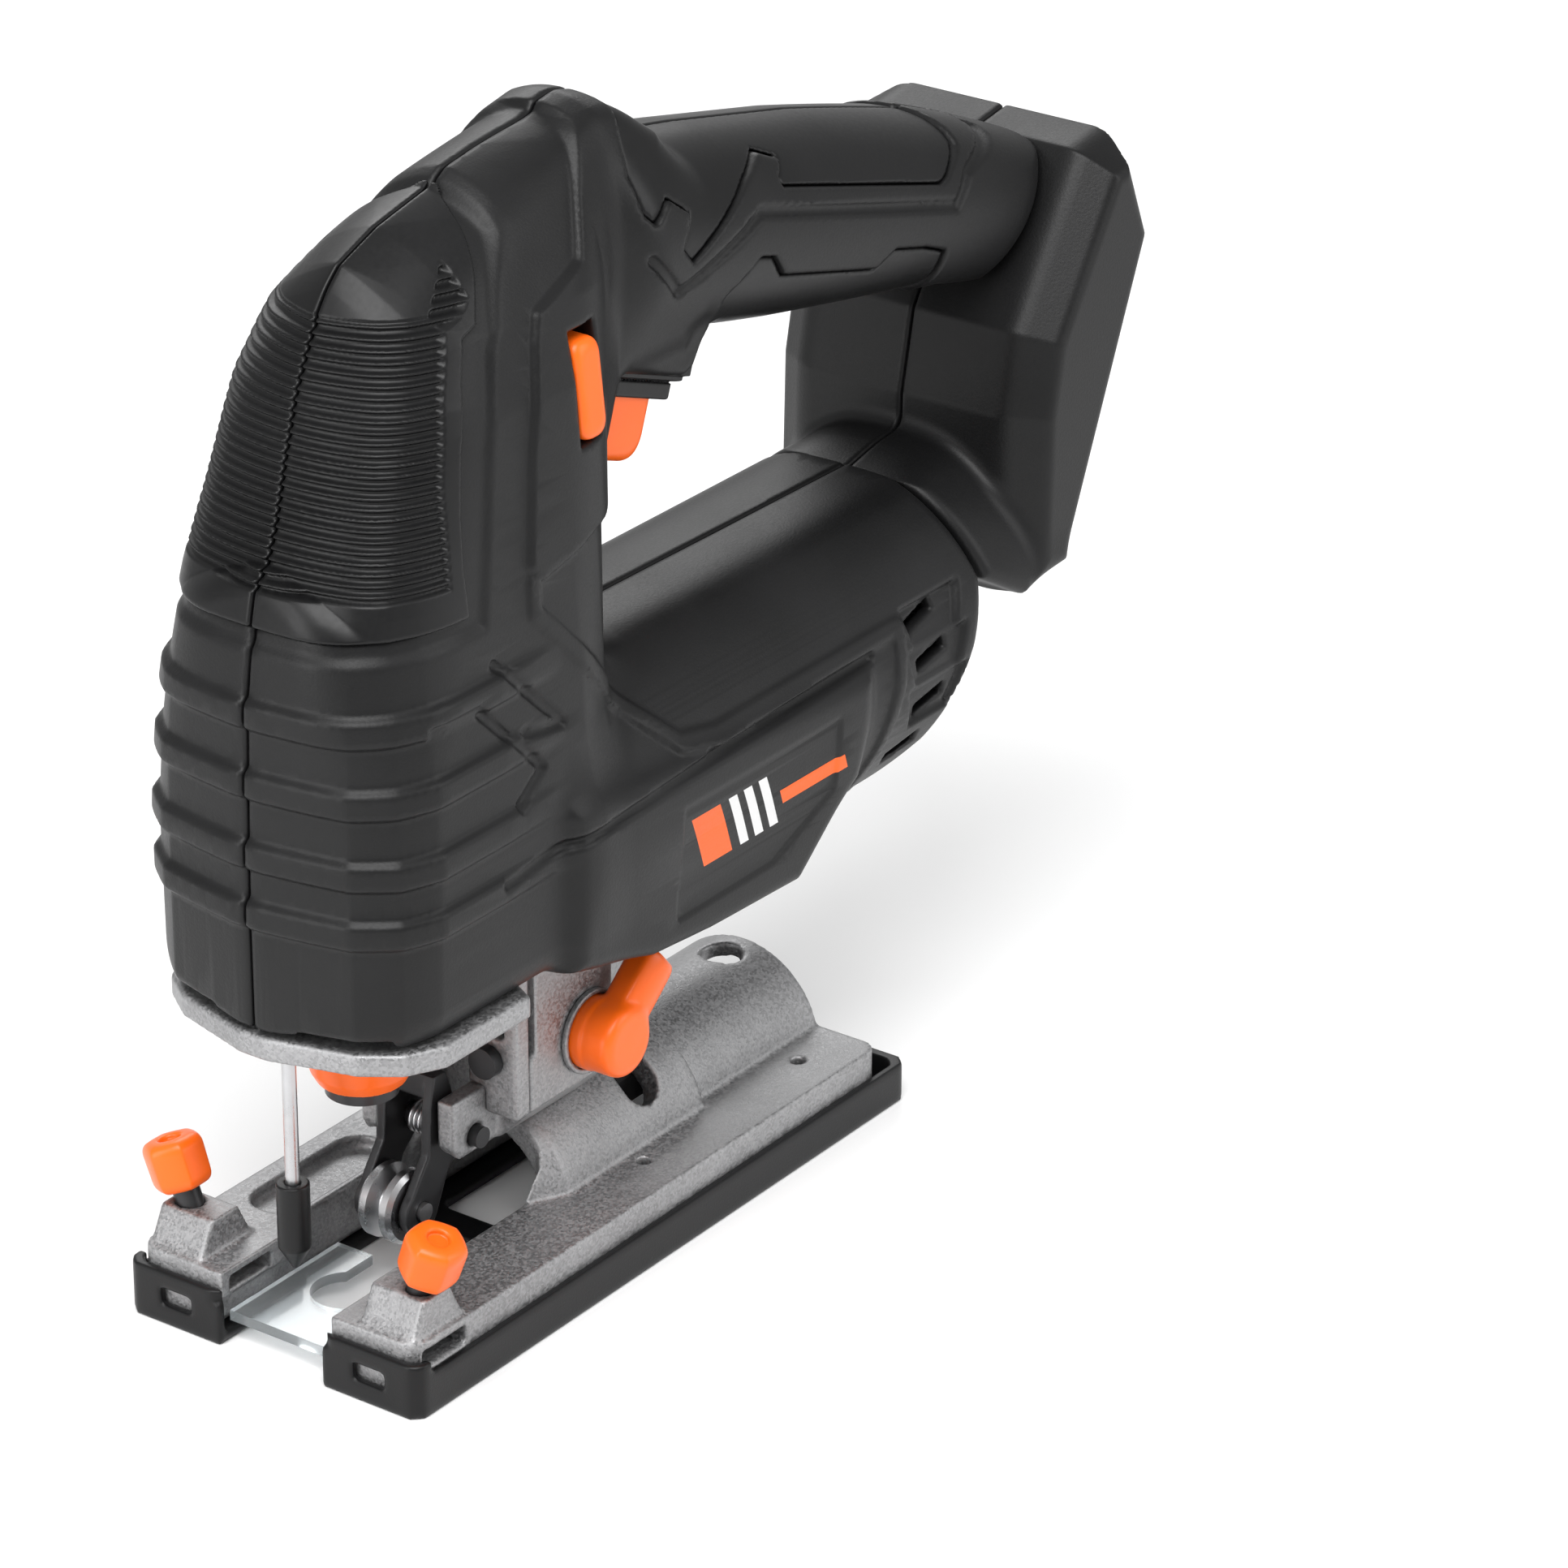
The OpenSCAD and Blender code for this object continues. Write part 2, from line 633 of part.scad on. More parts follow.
module gear_outline(teeth, m, backlash, phase) {
  rp = m * teeth / 2;
  rb = rp * cos(20);
  root = rp - 1.2 * m;
  tip = rp + m;
  at_pitch = polar_angle(involute(rb, sqrt(pow(rp / rb, 2) - 1) * 180 / PI));
  half = 90 / teeth - backlash / rp * 90 / PI + at_pitch;
  side_a = flank(rb, root, tip, 5);
  tooth = concat([spin([root - 0.3, 0], -half)], [for (p = side_a) spin(p, -half)],
    [for (i = [len(side_a) - 1 : -1 : 0]) spin(flip(side_a[i]), half)], [spin([root - 0.3, 0], half)]);
  rotate(phase) {
    circle(root);
    for (i = [0 : teeth - 1]) rotate(i * 360 / teeth) polygon(tooth);
  }
}

module drive_gear() color("#77777a") {
  translate([gear_x, 0, gear_z]) rotate([90, 0, 90]) difference() {
    union() {
      linear_extrude(gear_t) difference() {
        gear_outline(gear_teeth, gear_module, 0.12, -90);
        circle(spindle_big + run_fit);
      }
      translate([crank_y, crank_z - gear_z, -5]) cylinder(h = 6, r = 2.2);
    }
  }
}

module crank_roller() color("#b0b0b4") {
  translate([gear_x - 5, crank_y, crank_z]) rotate([0, 90, 0]) difference() {
    cylinder(h = 4.6, r = roller_big);
    translate([0, 0, -1]) cylinder(h = 7, r = 2.2 + run_fit);
  }
}

module gear_spindle() color("#8c8c8e") {
  translate([0, 0, gear_z]) along_x(gear_x + 0.5, -14.5, spindle_big);
}

module pinion() color("#77777a") {
  translate([gear_x, 0, motor_z]) rotate([90, 0, 90]) linear_extrude(gear_t + 1) difference() {
    gear_outline(pinion_teeth, gear_module, 0.12, 90 + 180 / pinion_teeth);
    circle(2.5);
  }
}

module motor_shaft() color("#a8a8ac") {
  translate([0, 0, motor_z]) {
    along_x(gear_x - 0.5, gear_x + gear_t + 1.2, 2.5);
    along_x(gear_x + gear_t + 1.2, fan_x + 9, shaft_r);
  }
}

module bearing(x0, x1, r, bore) {
  translate([0, 0, motor_z]) difference() {
    along_x(x0, x1, r);
    along_x(x0 - 1, x1 + 1, bore);
  }
}

module front_bearing() color("#b4b4b8") bearing(-20, -14.5, bearing_r, shaft_r + run_fit);
module rear_bearing() color("#b4b4b8") bearing(can_x + motor_l + 1, can_x + motor_l + 5, 6.5, shaft_r + run_fit);

module armature() color("#7a4a2c") {
  translate([0, 0, motor_z]) difference() {
    union() {
      along_x(can_x + 8, can_x + motor_l - 16, motor_r - 8);
      along_x(can_x + motor_l - 13, can_x + motor_l - 5, 9);
    }
    along_x(0, 90, shaft_r);
  }
}

module motor_can() color("#5c5f63") {
  translate([0, 0, motor_z]) difference() {
    along_x(can_x, can_x + motor_l - 4, motor_r);
    along_x(can_x + 2, can_x + motor_l, motor_r - 2);
    along_x(can_x - 1, can_x + 4, 5);
  }
}

module motor_end_cap() color("#2b2d30") {
  translate([0, 0, motor_z]) difference() {
    along_x(can_x + motor_l - 4 + seat, can_x + motor_l + 5, motor_r - 1);
    along_x(can_x + motor_l - 5, can_x + motor_l + 1, motor_r - 3);
    along_x(can_x + motor_l - 5, can_x + motor_l + 6, 6.5 + seat);
  }
}

module brush_holders() color("#c49a45") {
  both_sides() translate([0, 0, motor_z])
    box(can_x + motor_l - 12, can_x + motor_l - 6, -motor_r + 2.4, -9.3, -3, 3);
}

module cooling_fan() color("#d8d8d4") {
  translate([fan_x, 0, motor_z]) rotate([0, 90, 0]) difference() {
    union() {
      cylinder(h = 1.6, r = 19.5);
      cylinder(h = 7, r = 5.5);
      for (i = [0 : 10]) rotate(i * 360 / 11) translate([5, -0.7, 1.5]) cube([12.8, 1.4, 5]);
    }
    translate([0, 0, -1]) cylinder(h = 20, r = shaft_r);
  }
}

// ---- Case ----

// Outer form of the case, everything moved inwards by d
module nose_form(d) {
  intersection() {
    side(inset(NOSE, d), -far, far);
    translate([-far, 0, 0]) rotate([90, 0, 90]) linear_extrude(2 * far)
      polygon(inset([for (p = NOSE_FRONT) [p.x * nose_wide, p.y]], d));
    linear_extrude(2 * far) nose_plan(d);
    rotate(-52.9) side(inset(NOSE_CORNER, d), -far, far);
    rotate(52.9) side(inset(NOSE_CORNER, d), -far, far);
    both_ways() crown(d);
  }
}

module crown(d) {
  translate([0, 0, crown_z]) rotate([crown_tilt, 0, 0]) translate([0, 0, -crown_z])
    side(inset(CROWN, d), -far, far);
}

// What a shape and its mirror image have in common
module both_ways() {
  intersection() {
    children();
    mirror([0, 1, 0]) children();
  }
}

module barrel_form(d) {
  intersection() {
    side(inset(BARREL, d), -far, far);
    translate([0, 0, motor_z]) along_x(-20, 110, barrel_r - d);
  }
}

module handle_form(d) {
  intersection() {
    side(inset(GRIP_CORE, d), -far, far);
    translate([0, 0, 187.8]) rotate([0, 12.6, 0]) along_x(-20, 160, handle_r - d);
  }
}

module bevelled(points, d) {
  hull() {
    side(inset(points, d), -dock_half_w + 8 + d, dock_half_w - 8 - d);
    side(inset(points, d + 5), -dock_half_w + d, dock_half_w - d);
  }
}

module dock_form(d) {
  bevelled(DOCK_SLAB, d);
  intersection() {
    side(inset(DOCK_NECK, d), -far, far);
    translate([0, 0, motor_z]) along_x(90, 140, barrel_r - d);
  }
}

// The flat cheeks below the motor
module cheek_form(d) {
  intersection() {
    side(inset(CHEEK, d), -far, far);
    translate([-far, 0, 0]) rotate([90, 0, 90]) linear_extrude(2 * far) polygon(inset(CHEEK_FRONT, d));
  }
}

module case_form(d) {
  nose_form(d);
  barrel_form(d);
  cheek_form(d);
  handle_form(d);
  side(inset(HOOD, d), -11.5 + d, 11.5 - d);
}

module half(s) {
  if (s < 0) box(-far, far, -far, -seam, -far, far + far);
  if (s > 0) box(-far, far, seam, far, -far, far + far);
}

module finger_gap() {
  side([[3.4, 116], [3.4, 149], [11, 162.8], [32, 155.3], [34.5, 156], [38.5, 161.4], [44.5, 159], [60, 154], [85, 149.6],
    [104, 148], [112, 146.4], [119, 139], [116, 123.4], [107, 115.4]], -far, far);
}

module front_grip_zone() {
  intersection() {
    side([[-90, 140], [-90, 215], [-22, 215], [-26, 196], [-28, 150], [-32, 140]], -far, far);
    box(-far, -15, -far, far, 0, 2 * far);
  }
}

module handle_grip_zone() {
  side([[34.1, 140], [30, 215], [126, 215], [117.1, 140]], -far, far);
}

module housing(s) {
  difference() {
    union() {
      difference() {
        intersection() {
          case_form(0);
          half(s);
        }
        case_form(case_wall + grip_t);
      }
      intersection() {
        case_form(grip_t + 1);
        half(s);
        inner_ribs();
      }
    }
    finger_gap();
    dock_zone();
    intersection() {
      difference() {
        case_form(-1);
        case_form(grip_t);
      }
      union() {
        front_grip_zone();
        handle_grip_zone();
      }
    }
    gear_head_space();
    lock_tunnel(0.4);
    trigger_mouth();
    vents();
    screw_holes(s);
  }
}

// Bosses, motor seats and rests inside the case
module inner_ribs() {
  for (p = SCREWS) translate([p.x, 0, p.y]) along_y(-far, far, boss_r);
  intersection() {
    barrel_form(grip_t);
    translate([0, 0, motor_z]) difference() {
      for (x = [18, 50]) along_x(x, x + 3, barrel_r);
      along_x(0, 80, motor_r + seat);
    }
  }
  handle_frame() for (x = [64, 88]) box(x, x + 2.5, -far, far, -handle_r, -0.9);
  trigger_frame() both_sides() box(-3, 3, -far, -8.5 - seat, 12, 20);
}

module handle_frame() {
  translate([0, 0, 187.8]) rotate([0, 12.6, 0]) children();
}

module gear_head_space() {
  translate([0, 0, 40]) linear_extrude(rim_z - 40 + 2) intersection() {
    nose_plan(case_wall);
    translate([-90, -40]) square([52, 80]);
  }
  box(frame_front - gap, frame_back + gap, -frame_half_w - gap, frame_half_w + gap, 40, rim_z + 6);
  box(-40, head_back + gap, -head_half_w - gap, head_half_w + gap, 40, rim_z);
  translate([guard_x, 0, 40]) cylinder(h = 40, r = guard_r + 2 + gap);
}

module dock_zone() {
  side([[174.6, 220], [140.5, 168.4], [120.4, 138], [117, 122.4], [108, 114.6], [99.5, 112.6], [104, 95],
    [120, 60], [300, 60], [300, 220]], -far, far);
}

module lock_tunnel(c) {
  translate([lock_x, 0, lock_z]) rotate([90, 0, 0]) translate([0, 0, -far]) linear_extrude(2 * far)
    rounded_rect(-lock_l / 2 - c, lock_l / 2 + c, -lock_h / 2 - c, lock_h / 2 + c, 3);
}

module trigger_frame() {
  translate([trigger_x, 0, trigger_z]) rotate([0, trigger_tilt, 0]) children();
}

module trigger_mouth() {
  trigger_frame() box(-9.6, 11, -trigger_w / 2 - 2.6, trigger_w / 2 + 2.6, -30, 14);
}

module vents() {
  both_sides() for (i = [0 : 3])
    translate([83, -far, 67 + 9.4 * i]) rotate([0, -28, 0]) box(-5, 5, 0, far - 12, -1.6, 1.6);
}

// The screws go in from the right, their heads sunk in the bosses
module screw_holes(s) {
  for (p = SCREWS) translate([p.x, 0, p.y]) {
    along_y(-screw_len - 1, screw_len + 1, screw_shaft_r + seat);
    if (s > 0) along_y(screw_len - seat, far, screw_head_r + gap);
  }
}

module housing_left() color("#242424") housing(-1);
module housing_right() color("#242424") housing(1);

module dock_shell(s) {
  difference() {
    intersection() {
      dock_form(0);
      half(s);
      translate([seat, 0, 0]) dock_zone();
    }
    difference() {
      intersection() {
        dock_form(case_wall);
        dock_frame() box(-far, -bay_d - case_wall, -far, far, -far, far);
      }
      for (p = SCREWS) translate([p.x, 0, p.y]) along_y(-far, far, boss_r);
    }
    rail_face();
    screw_holes(s);
  }
}

// The battery slides up this face on two rails
module rail_face() {
  dock_frame() {
    box(-bay_d, 20, -20, 20, -60, 24);
    box(-bay_d, -3, -23.5, 23.5, -60, 24);
  }
}

module dock_left() color("#242424") dock_shell(-1);
module dock_right() color("#242424") dock_shell(1);

module grip_skin(s) {
  intersection() {
    difference() {
      case_form(0);
      case_form(grip_t - seat);
    }
    half(s);
    children();
  }
}

module front_grip(s) {
  difference() {
    grip_skin(s) front_grip_zone();
    lock_tunnel(1);
  }
}

module handle_grip(s) {
  difference() {
    grip_skin(s) handle_grip_zone();
    finger_gap();
    trigger_mouth();
    screw_holes(s);
  }
}

module front_grip_left() color("#303030") front_grip(-1);
module front_grip_right() color("#303030") front_grip(1);
module handle_grip_left() color("#303030") handle_grip(-1);
module handle_grip_right() color("#303030") handle_grip(1);

module trigger() color("darkorange") {
  trigger_frame() rounded_box(-7, 7, -trigger_w / 2 + 0.8, trigger_w / 2 - 0.8, -17, 3, 2.5);
}

module trigger_boot() color("#1e1e1e") {
  trigger_frame() difference() {
    union() {
      box(-9.2, 10.6, -trigger_w / 2 - 2.2, trigger_w / 2 + 2.2, -1.5, 3);
      box(-9.2, 9, -trigger_w / 2 - 1.2, trigger_w / 2 + 1.2, -4, -1.5);
    }
    rounded_box(-7 - gap, 7 + gap, -trigger_w / 2 + 0.8 - gap, trigger_w / 2 - 0.8 + gap, -20, 20, 2.5);
  }
}

module switch_module() color("#3a3a3a") {
  trigger_frame() box(-9, 9, -8.5, 8.5, 3 + trigger_travel + gap, 23);
}

module lock_button() color("darkorange") {
  difference() {
    union() {
      translate([lock_x, 0, lock_z]) rotate([90, 0, 0]) translate([0, 0, 17]) linear_extrude(7)
        rounded_rect(-lock_l / 2, lock_l / 2, -lock_h / 2, lock_h / 2, 3);
      translate([lock_x, 0, lock_z]) along_y(-18, 18, 3);
      translate([lock_x, 0, lock_z]) rotate([90, 0, 0]) translate([0, 0, -22]) linear_extrude(5)
        rounded_rect(-lock_l / 2, lock_l / 2, -lock_h / 2, lock_h / 2, 3);
    }
  }
}

module dock_frame() {
  translate([145.3, 0, 118]) rotate([0, 23.6, 0]) children();
}

module terminal_block() color("#2a2a2a") {
  dock_frame() difference() {
    box(-bay_d + seat, -3.4, -13, 13, 2, 20);
    for (y = [-9, -3, 3, 9]) box(-bay_d + 1, 6, y - 0.8, y + 0.8, -2, 16);
  }
}

module terminal_blades() color("#d0a850") {
  dock_frame() for (y = [-9, -3, 3, 9]) box(-bay_d + 1, -4.4, y - 0.4, y + 0.4, 4, 16);
}

module control_board() color("#2f6b3c") {
  handle_frame() box(62, 92, -11, 11, -0.8, 0.8);
}

module case_screws() color("#505052") {
  for (p = SCREWS) translate([p.x, 0, p.y]) {
    along_y(-screw_len, screw_len, screw_shaft_r);
    along_y(screw_len, screw_len + 2.4, screw_head_r);
  }
}

shoe();
sole_cover();
splinter_insert();
fence_screw_left();
fence_screw_right();
fence_knob_left();
fence_knob_right();
gear_head();
gear_head_front();
front_block_screws();
bevel_clamp();
bevel_bolt();
guard_rod();
guard_tip();
roller_yoke();
yoke_pin();
yoke_spring();
guide_roller();
roller_pin();
orbit_knob();
orbit_spindle();
orbit_ring();
plunger();
lower_bush();
upper_bush();
blade_holder();
clamp_collar();
clamp_spring();
drive_gear();
gear_spindle();
crank_roller();
motor_can();
motor_end_cap();
brush_holders();
armature();
motor_shaft();
cooling_fan();
pinion();
front_bearing();
rear_bearing();
housing_left();
housing_right();
dock_left();
dock_right();
front_grip_left();
front_grip_right();
handle_grip_left();
handle_grip_right();
trigger();
trigger_boot();
switch_module();
lock_button();
terminal_block();
terminal_blades();
control_board();
case_screws();
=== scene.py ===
"""Looks of a cordless jigsaw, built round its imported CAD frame.

Lengths inside the form functions are millimetres; everything handed to Blender is in metres.
"""
import json
import logging
import math
from dataclasses import dataclass
from enum import Enum
from typing import Callable, Sequence, Union

import bmesh
import bpy
import numpy as np
from mathutils import Matrix, Vector


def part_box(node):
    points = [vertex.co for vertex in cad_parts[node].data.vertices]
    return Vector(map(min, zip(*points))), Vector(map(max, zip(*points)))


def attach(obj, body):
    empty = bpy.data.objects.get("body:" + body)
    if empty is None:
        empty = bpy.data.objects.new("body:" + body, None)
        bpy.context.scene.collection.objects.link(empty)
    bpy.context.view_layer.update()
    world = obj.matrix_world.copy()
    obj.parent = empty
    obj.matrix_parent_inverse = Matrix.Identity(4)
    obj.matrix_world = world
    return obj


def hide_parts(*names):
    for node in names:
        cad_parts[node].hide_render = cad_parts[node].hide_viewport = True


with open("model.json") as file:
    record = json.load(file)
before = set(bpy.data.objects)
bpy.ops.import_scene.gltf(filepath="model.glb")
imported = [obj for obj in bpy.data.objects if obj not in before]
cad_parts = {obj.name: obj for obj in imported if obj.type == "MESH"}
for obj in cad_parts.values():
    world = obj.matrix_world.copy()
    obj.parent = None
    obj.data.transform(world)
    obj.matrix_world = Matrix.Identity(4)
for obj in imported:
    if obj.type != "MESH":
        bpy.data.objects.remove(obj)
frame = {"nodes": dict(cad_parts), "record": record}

log = logging.getLogger("jigsaw")
MM = 0.001
SENSOR_WIDTH = 36.0
Field = np.ndarray
Form = Callable[[Field, Field, Field], Field]
Pair = tuple[float, float]
FAR = 1e9
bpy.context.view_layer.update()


# ---------------------------------------------------------------- materials


class Sock:
    """A shader socket that can be added, subtracted, multiplied and compared."""

    def __init__(self, shader: "Shader", value: bpy.types.NodeSocket) -> None:
        """Wraps one output socket of a shader's tree."""
        self.shader, self.value = shader, value

    def _math(self, operation: str, first: "Term", second: "Term") -> "Sock":
        """The result of one Math node."""
        return self.shader.node("Math", "Value", [first, second], operation=operation)

    def __add__(self, other: "Term") -> "Sock":
        """self + other."""
        return self._math("ADD", self, other)

    def __radd__(self, other: float) -> "Sock":
        """other + self."""
        return self._math("ADD", other, self)

    def __sub__(self, other: "Term") -> "Sock":
        """self - other."""
        return self._math("SUBTRACT", self, other)

    def __rsub__(self, other: float) -> "Sock":
        """other - self, so that 1 - mask works."""
        return self._math("SUBTRACT", other, self)

    def __mul__(self, other: "Term") -> "Sock":
        """self * other."""
        return self._math("MULTIPLY", self, other)

    def __rmul__(self, other: float) -> "Sock":
        """other * self."""
        return self._math("MULTIPLY", other, self)

    def above(self, limit: float) -> "Sock":
        """1 where the value is above the limit."""
        return self._math("GREATER_THAN", self, limit)

    def below(self, limit: float) -> "Sock":
        """1 where the value is below the limit."""
        return (self * -1.0).above(-limit)

    def span(self, low: float, high: float, to_low: float = 0.0, to_high: float = 1.0) -> "Sock":
        """Moves the value from one range to another and holds it inside.

        Args:
            low, high: the range it comes from.
            to_low, to_high: the range it goes to.
        Returns:
            The moved value.
        """
        return self.shader.node("MapRange", "Result", {
            "Value": self, "From Min": low, "From Max": high, "To Min": to_low, "To Max": to_high})

    def mix(self, low: Sequence[float], high: Sequence[float]) -> "Sock":
        """A colour between two, by the value."""
        return self.shader.node("Mix", 2, {0: self, 6: (*low, 1.0), 7: (*high, 1.0)}, data_type="RGBA")


Term = Union[Sock, float]
Inputs = Union[dict, Sequence]


class Shader:
    """A material under construction."""

    def __init__(self, name: str) -> None:
        """Starts a material that holds only a Principled shader."""
        self.material = bpy.data.materials.new(name)
        self.material.use_nodes = True
        self.tree = self.material.node_tree
        self.bsdf = self.tree.nodes["Principled BSDF"]

    def node(self, kind: str, output: Union[str, int], inputs: Inputs, **settings) -> Sock:
        """Makes one shader node.

        Args:
            kind: the node's type, without its ShaderNode prefix.
            output: name or number of the output socket to hand on.
            inputs: values by socket name or number, or a list of them in order.
            settings: properties of the node.
        Returns:
            The output as a Sock.
        """
        made = self.tree.nodes.new("ShaderNode" + kind)
        for key, value in settings.items():
            setattr(made, key, value)
        pairs = inputs.items() if isinstance(inputs, dict) else enumerate(inputs)
        for key, value in pairs:
            if isinstance(value, Sock):
                self.tree.links.new(value.value, made.inputs[key])
            else:
                made.inputs[key].default_value = value
        return Sock(self, made.outputs[output])

    def place(self) -> Sock:
        """Object coordinates, in metres."""
        return self.node("TexCoord", "Object", {})

    def noise(self, scale: float, detail: float = 3.0) -> Sock:
        """Fractal noise in object space."""
        return self.node("TexNoise", "Fac", {"Vector": self.place(), "Scale": scale, "Detail": detail})

    def cells(self, scale: float) -> Sock:
        """A value for each random cell."""
        colour = self.node("TexVoronoi", "Color", {"Vector": self.place(), "Scale": scale})
        return self.node("SeparateColor", 0, [colour])

    def put(self, name: str, value: Term) -> None:
        """Sets one input of the Principled shader."""
        if isinstance(value, Sock):
            self.tree.links.new(value.value, self.bsdf.inputs[name])
        else:
            self.bsdf.inputs[name].default_value = value

    def bump(self, height: Sock, distance: float, strength: float = 1.0) -> None:
        """Adds relief from a height."""
        self.put("Normal", self.node("Bump", "Normal", {
            "Height": height, "Distance": distance, "Strength": strength}))


@dataclass(frozen=True)
class Moulded:
    """Moulded plastic or rubber with a fine grain.

    grain is the size of the grain in metres and depth its height. tint is how far the colour
    varies, gloss the specular level, and label adds the printed panel.
    """

    name: str
    colour: tuple[float, float, float]
    rough: float = 0.45
    grain: float = 0.0004
    depth: float = 0.00002
    coat: float = 0.0
    tint: float = 0.25
    gloss: float = 0.32
    label: bool = False

    def make(self) -> bpy.types.Material:
        """Builds the material."""
        s = Shader(self.name)
        cloud = s.noise(38.0, 4.0)
        low = tuple(c * (1 - self.tint) for c in self.colour)
        high = tuple(min(1.0, c * (1 + self.tint)) for c in self.colour)
        colour = cloud.span(0.35, 0.65).mix(low, high)
        if self.label:
            colour = label_print(s, colour)
        s.put("Base Color", colour)
        s.put("Specular IOR Level", self.gloss)
        fine = s.noise(1 / self.grain, 2.0)
        blend = cloud * 0.5 + fine * 0.5
        s.put("Roughness", blend.span(0.3, 0.7, self.rough - 0.05, self.rough + 0.06))
        s.bump(fine, self.depth)
        s.put("IOR", 1.46)
        s.put("Coat Weight", self.coat)
        s.put("Coat Roughness", 0.3)
        return s.material


def label_print(s: Shader, base: Sock) -> Sock:
    """Adds the printed panel: an orange block and plain pale bars, with no lettering.

    Args:
        s: the shader under construction.
        base: the colour outside the print.
    Returns:
        The colour with the print over it.
    """
    place = s.place()
    x, y, z = (s.node("SeparateXYZ", i, [place]) for i in range(3))
    lean = x + z * 0.42
    side = y.below(-0.026)

    def bar(start: float, end: float, bottom: float = 0.0725, top: float = 0.0836) -> Sock:
        """A leaning bar on the low Y side, in metres."""
        spot = lean.above(start) * lean.below(end)
        return spot * z.above(bottom) * z.below(top) * side

    orange, pale = (0.9, 0.13, 0.02), (0.75, 0.75, 0.75)
    marks = (
        (bar(0.0425, 0.0510), orange),
        (bar(0.0535, 0.0560) + bar(0.0580, 0.0605) + bar(0.0625, 0.0650), pale),
        (bar(0.0675, 0.0870, 0.0760, 0.0790), orange),
    )
    for mask, ink in marks:
        base = s.node("Mix", 2, {0: mask, 6: base, 7: (*ink, 1.0)}, data_type="RGBA")
    return base


@dataclass(frozen=True)
class Cast:
    """Die-cast alloy with a blasted, sparkling surface; sparkle is a fleck's size in metres."""

    name: str
    colour: tuple[float, float, float]
    rough: float = 0.42
    sparkle: float = 0.00045

    def make(self) -> bpy.types.Material:
        """Builds the material."""
        s = Shader(self.name)
        fleck = s.cells(1 / self.sparkle)
        cloud = s.noise(60.0, 4.0)
        dark = tuple(c * 0.72 for c in self.colour)
        light = tuple(min(1.0, c * 1.22) for c in self.colour)
        s.put("Base Color", (fleck * 0.55 + cloud * 0.45).span(0.2, 0.8).mix(dark, light))
        s.put("Metallic", 0.85)
        s.put("Roughness", fleck.span(0.0, 1.0, self.rough - 0.1, self.rough + 0.16))
        relief = s.noise(1 / self.sparkle, 3.0)
        s.bump(relief, 0.00006)
        return s.material


@dataclass(frozen=True)
class Machined:
    """Ground or turned metal; metal is how metallic it is."""

    name: str
    colour: tuple[float, float, float]
    rough: float = 0.28
    metal: float = 1.0

    def make(self) -> bpy.types.Material:
        """Builds the material."""
        s = Shader(self.name)
        cloud = s.noise(170.0, 5.0)
        dark = tuple(c * 0.8 for c in self.colour)
        s.put("Base Color", cloud.span(0.3, 0.7).mix(dark, self.colour))
        s.put("Metallic", self.metal)
        s.put("Roughness", cloud.span(0.3, 0.7, self.rough - 0.06, self.rough + 0.1))
        s.bump(s.noise(2200.0, 2.0), 0.00001)
        return s.material


@dataclass(frozen=True)
class Clear:
    """Clear moulded plastic."""

    name: str
    colour: tuple[float, float, float]

    def make(self) -> bpy.types.Material:
        """Builds the material."""
        s = Shader(self.name)
        cloud = s.noise(90.0, 3.0)
        s.put("Base Color", cloud.span(0.3, 0.7).mix(tuple(c * 0.93 for c in self.colour), self.colour))
        s.put("Roughness", cloud.span(0.3, 0.7, 0.06, 0.16))
        s.put("Transmission Weight", 0.9)
        s.put("IOR", 1.45)
        return s.material


MADE: dict[str, bpy.types.Material] = {}


class Finish(Enum):
    """Every finish on the object, with the record's slot it belongs to."""

    CASE = ("case_black", Moulded("satin_case", (0.0065, 0.0065, 0.0068), 0.43, 0.0005, 0.00003,
                                  label=True))
    GRIP = ("soft_grip", Moulded("rubber", (0.0052, 0.0052, 0.0055), 0.36, 0.0009, 0.00001))
    SOLE = ("sole_black", Moulded("sole_plastic", (0.0055, 0.0055, 0.006), 0.4))
    ORANGE = ("orange_plastic", Moulded("orange", (0.96, 0.135, 0.006), 0.36, 0.0006, 0.00001,
                                        0.25, 0.04))
    INNER = ("inner_plastic", Moulded("inner", (0.03, 0.03, 0.031), 0.5))
    BOARD = ("board", Moulded("laminate", (0.02, 0.13, 0.05), 0.4))
    FAN = ("fan_plastic", Moulded("nylon", (0.7, 0.7, 0.66), 0.45))
    ALLOY = ("cast_alloy", Cast("blasted_alloy", (0.34, 0.34, 0.345), 0.5))
    STEEL = ("bright_steel", Machined("ground_steel", (0.56, 0.56, 0.57)))
    BLACK_STEEL = ("black_steel", Machined("blacked_steel", (0.045, 0.045, 0.047), 0.36, 0.6))
    BRASS = ("brass", Machined("bronze", (0.72, 0.5, 0.22), 0.33))
    COPPER = ("windings", Machined("copper", (0.5, 0.2, 0.08), 0.35))
    CLEAR = ("clear_plastic", Clear("clear_sheet", (0.9, 0.95, 0.97)))

    @property
    def slot(self) -> str:
        """The record's slot."""
        return self.value[0]

    @property
    def material(self) -> bpy.types.Material:
        """The Blender material, built once."""
        if self.name not in MADE:
            MADE[self.name] = self.value[1].make()
        return MADE[self.name]


# ---------------------------------------------------------------- forms
#
# A form takes x, y and z in mm and gives the signed distance to a surface, negative inside.


def smax(a: Field, b: Field, k: float) -> Field:
    """The larger of two fields, blended over k mm: a rounded intersection."""
    h = np.clip(0.5 + 0.5 * (a - b) / k, 0.0, 1.0)
    return b + (a - b) * h + k * h * (1.0 - h)


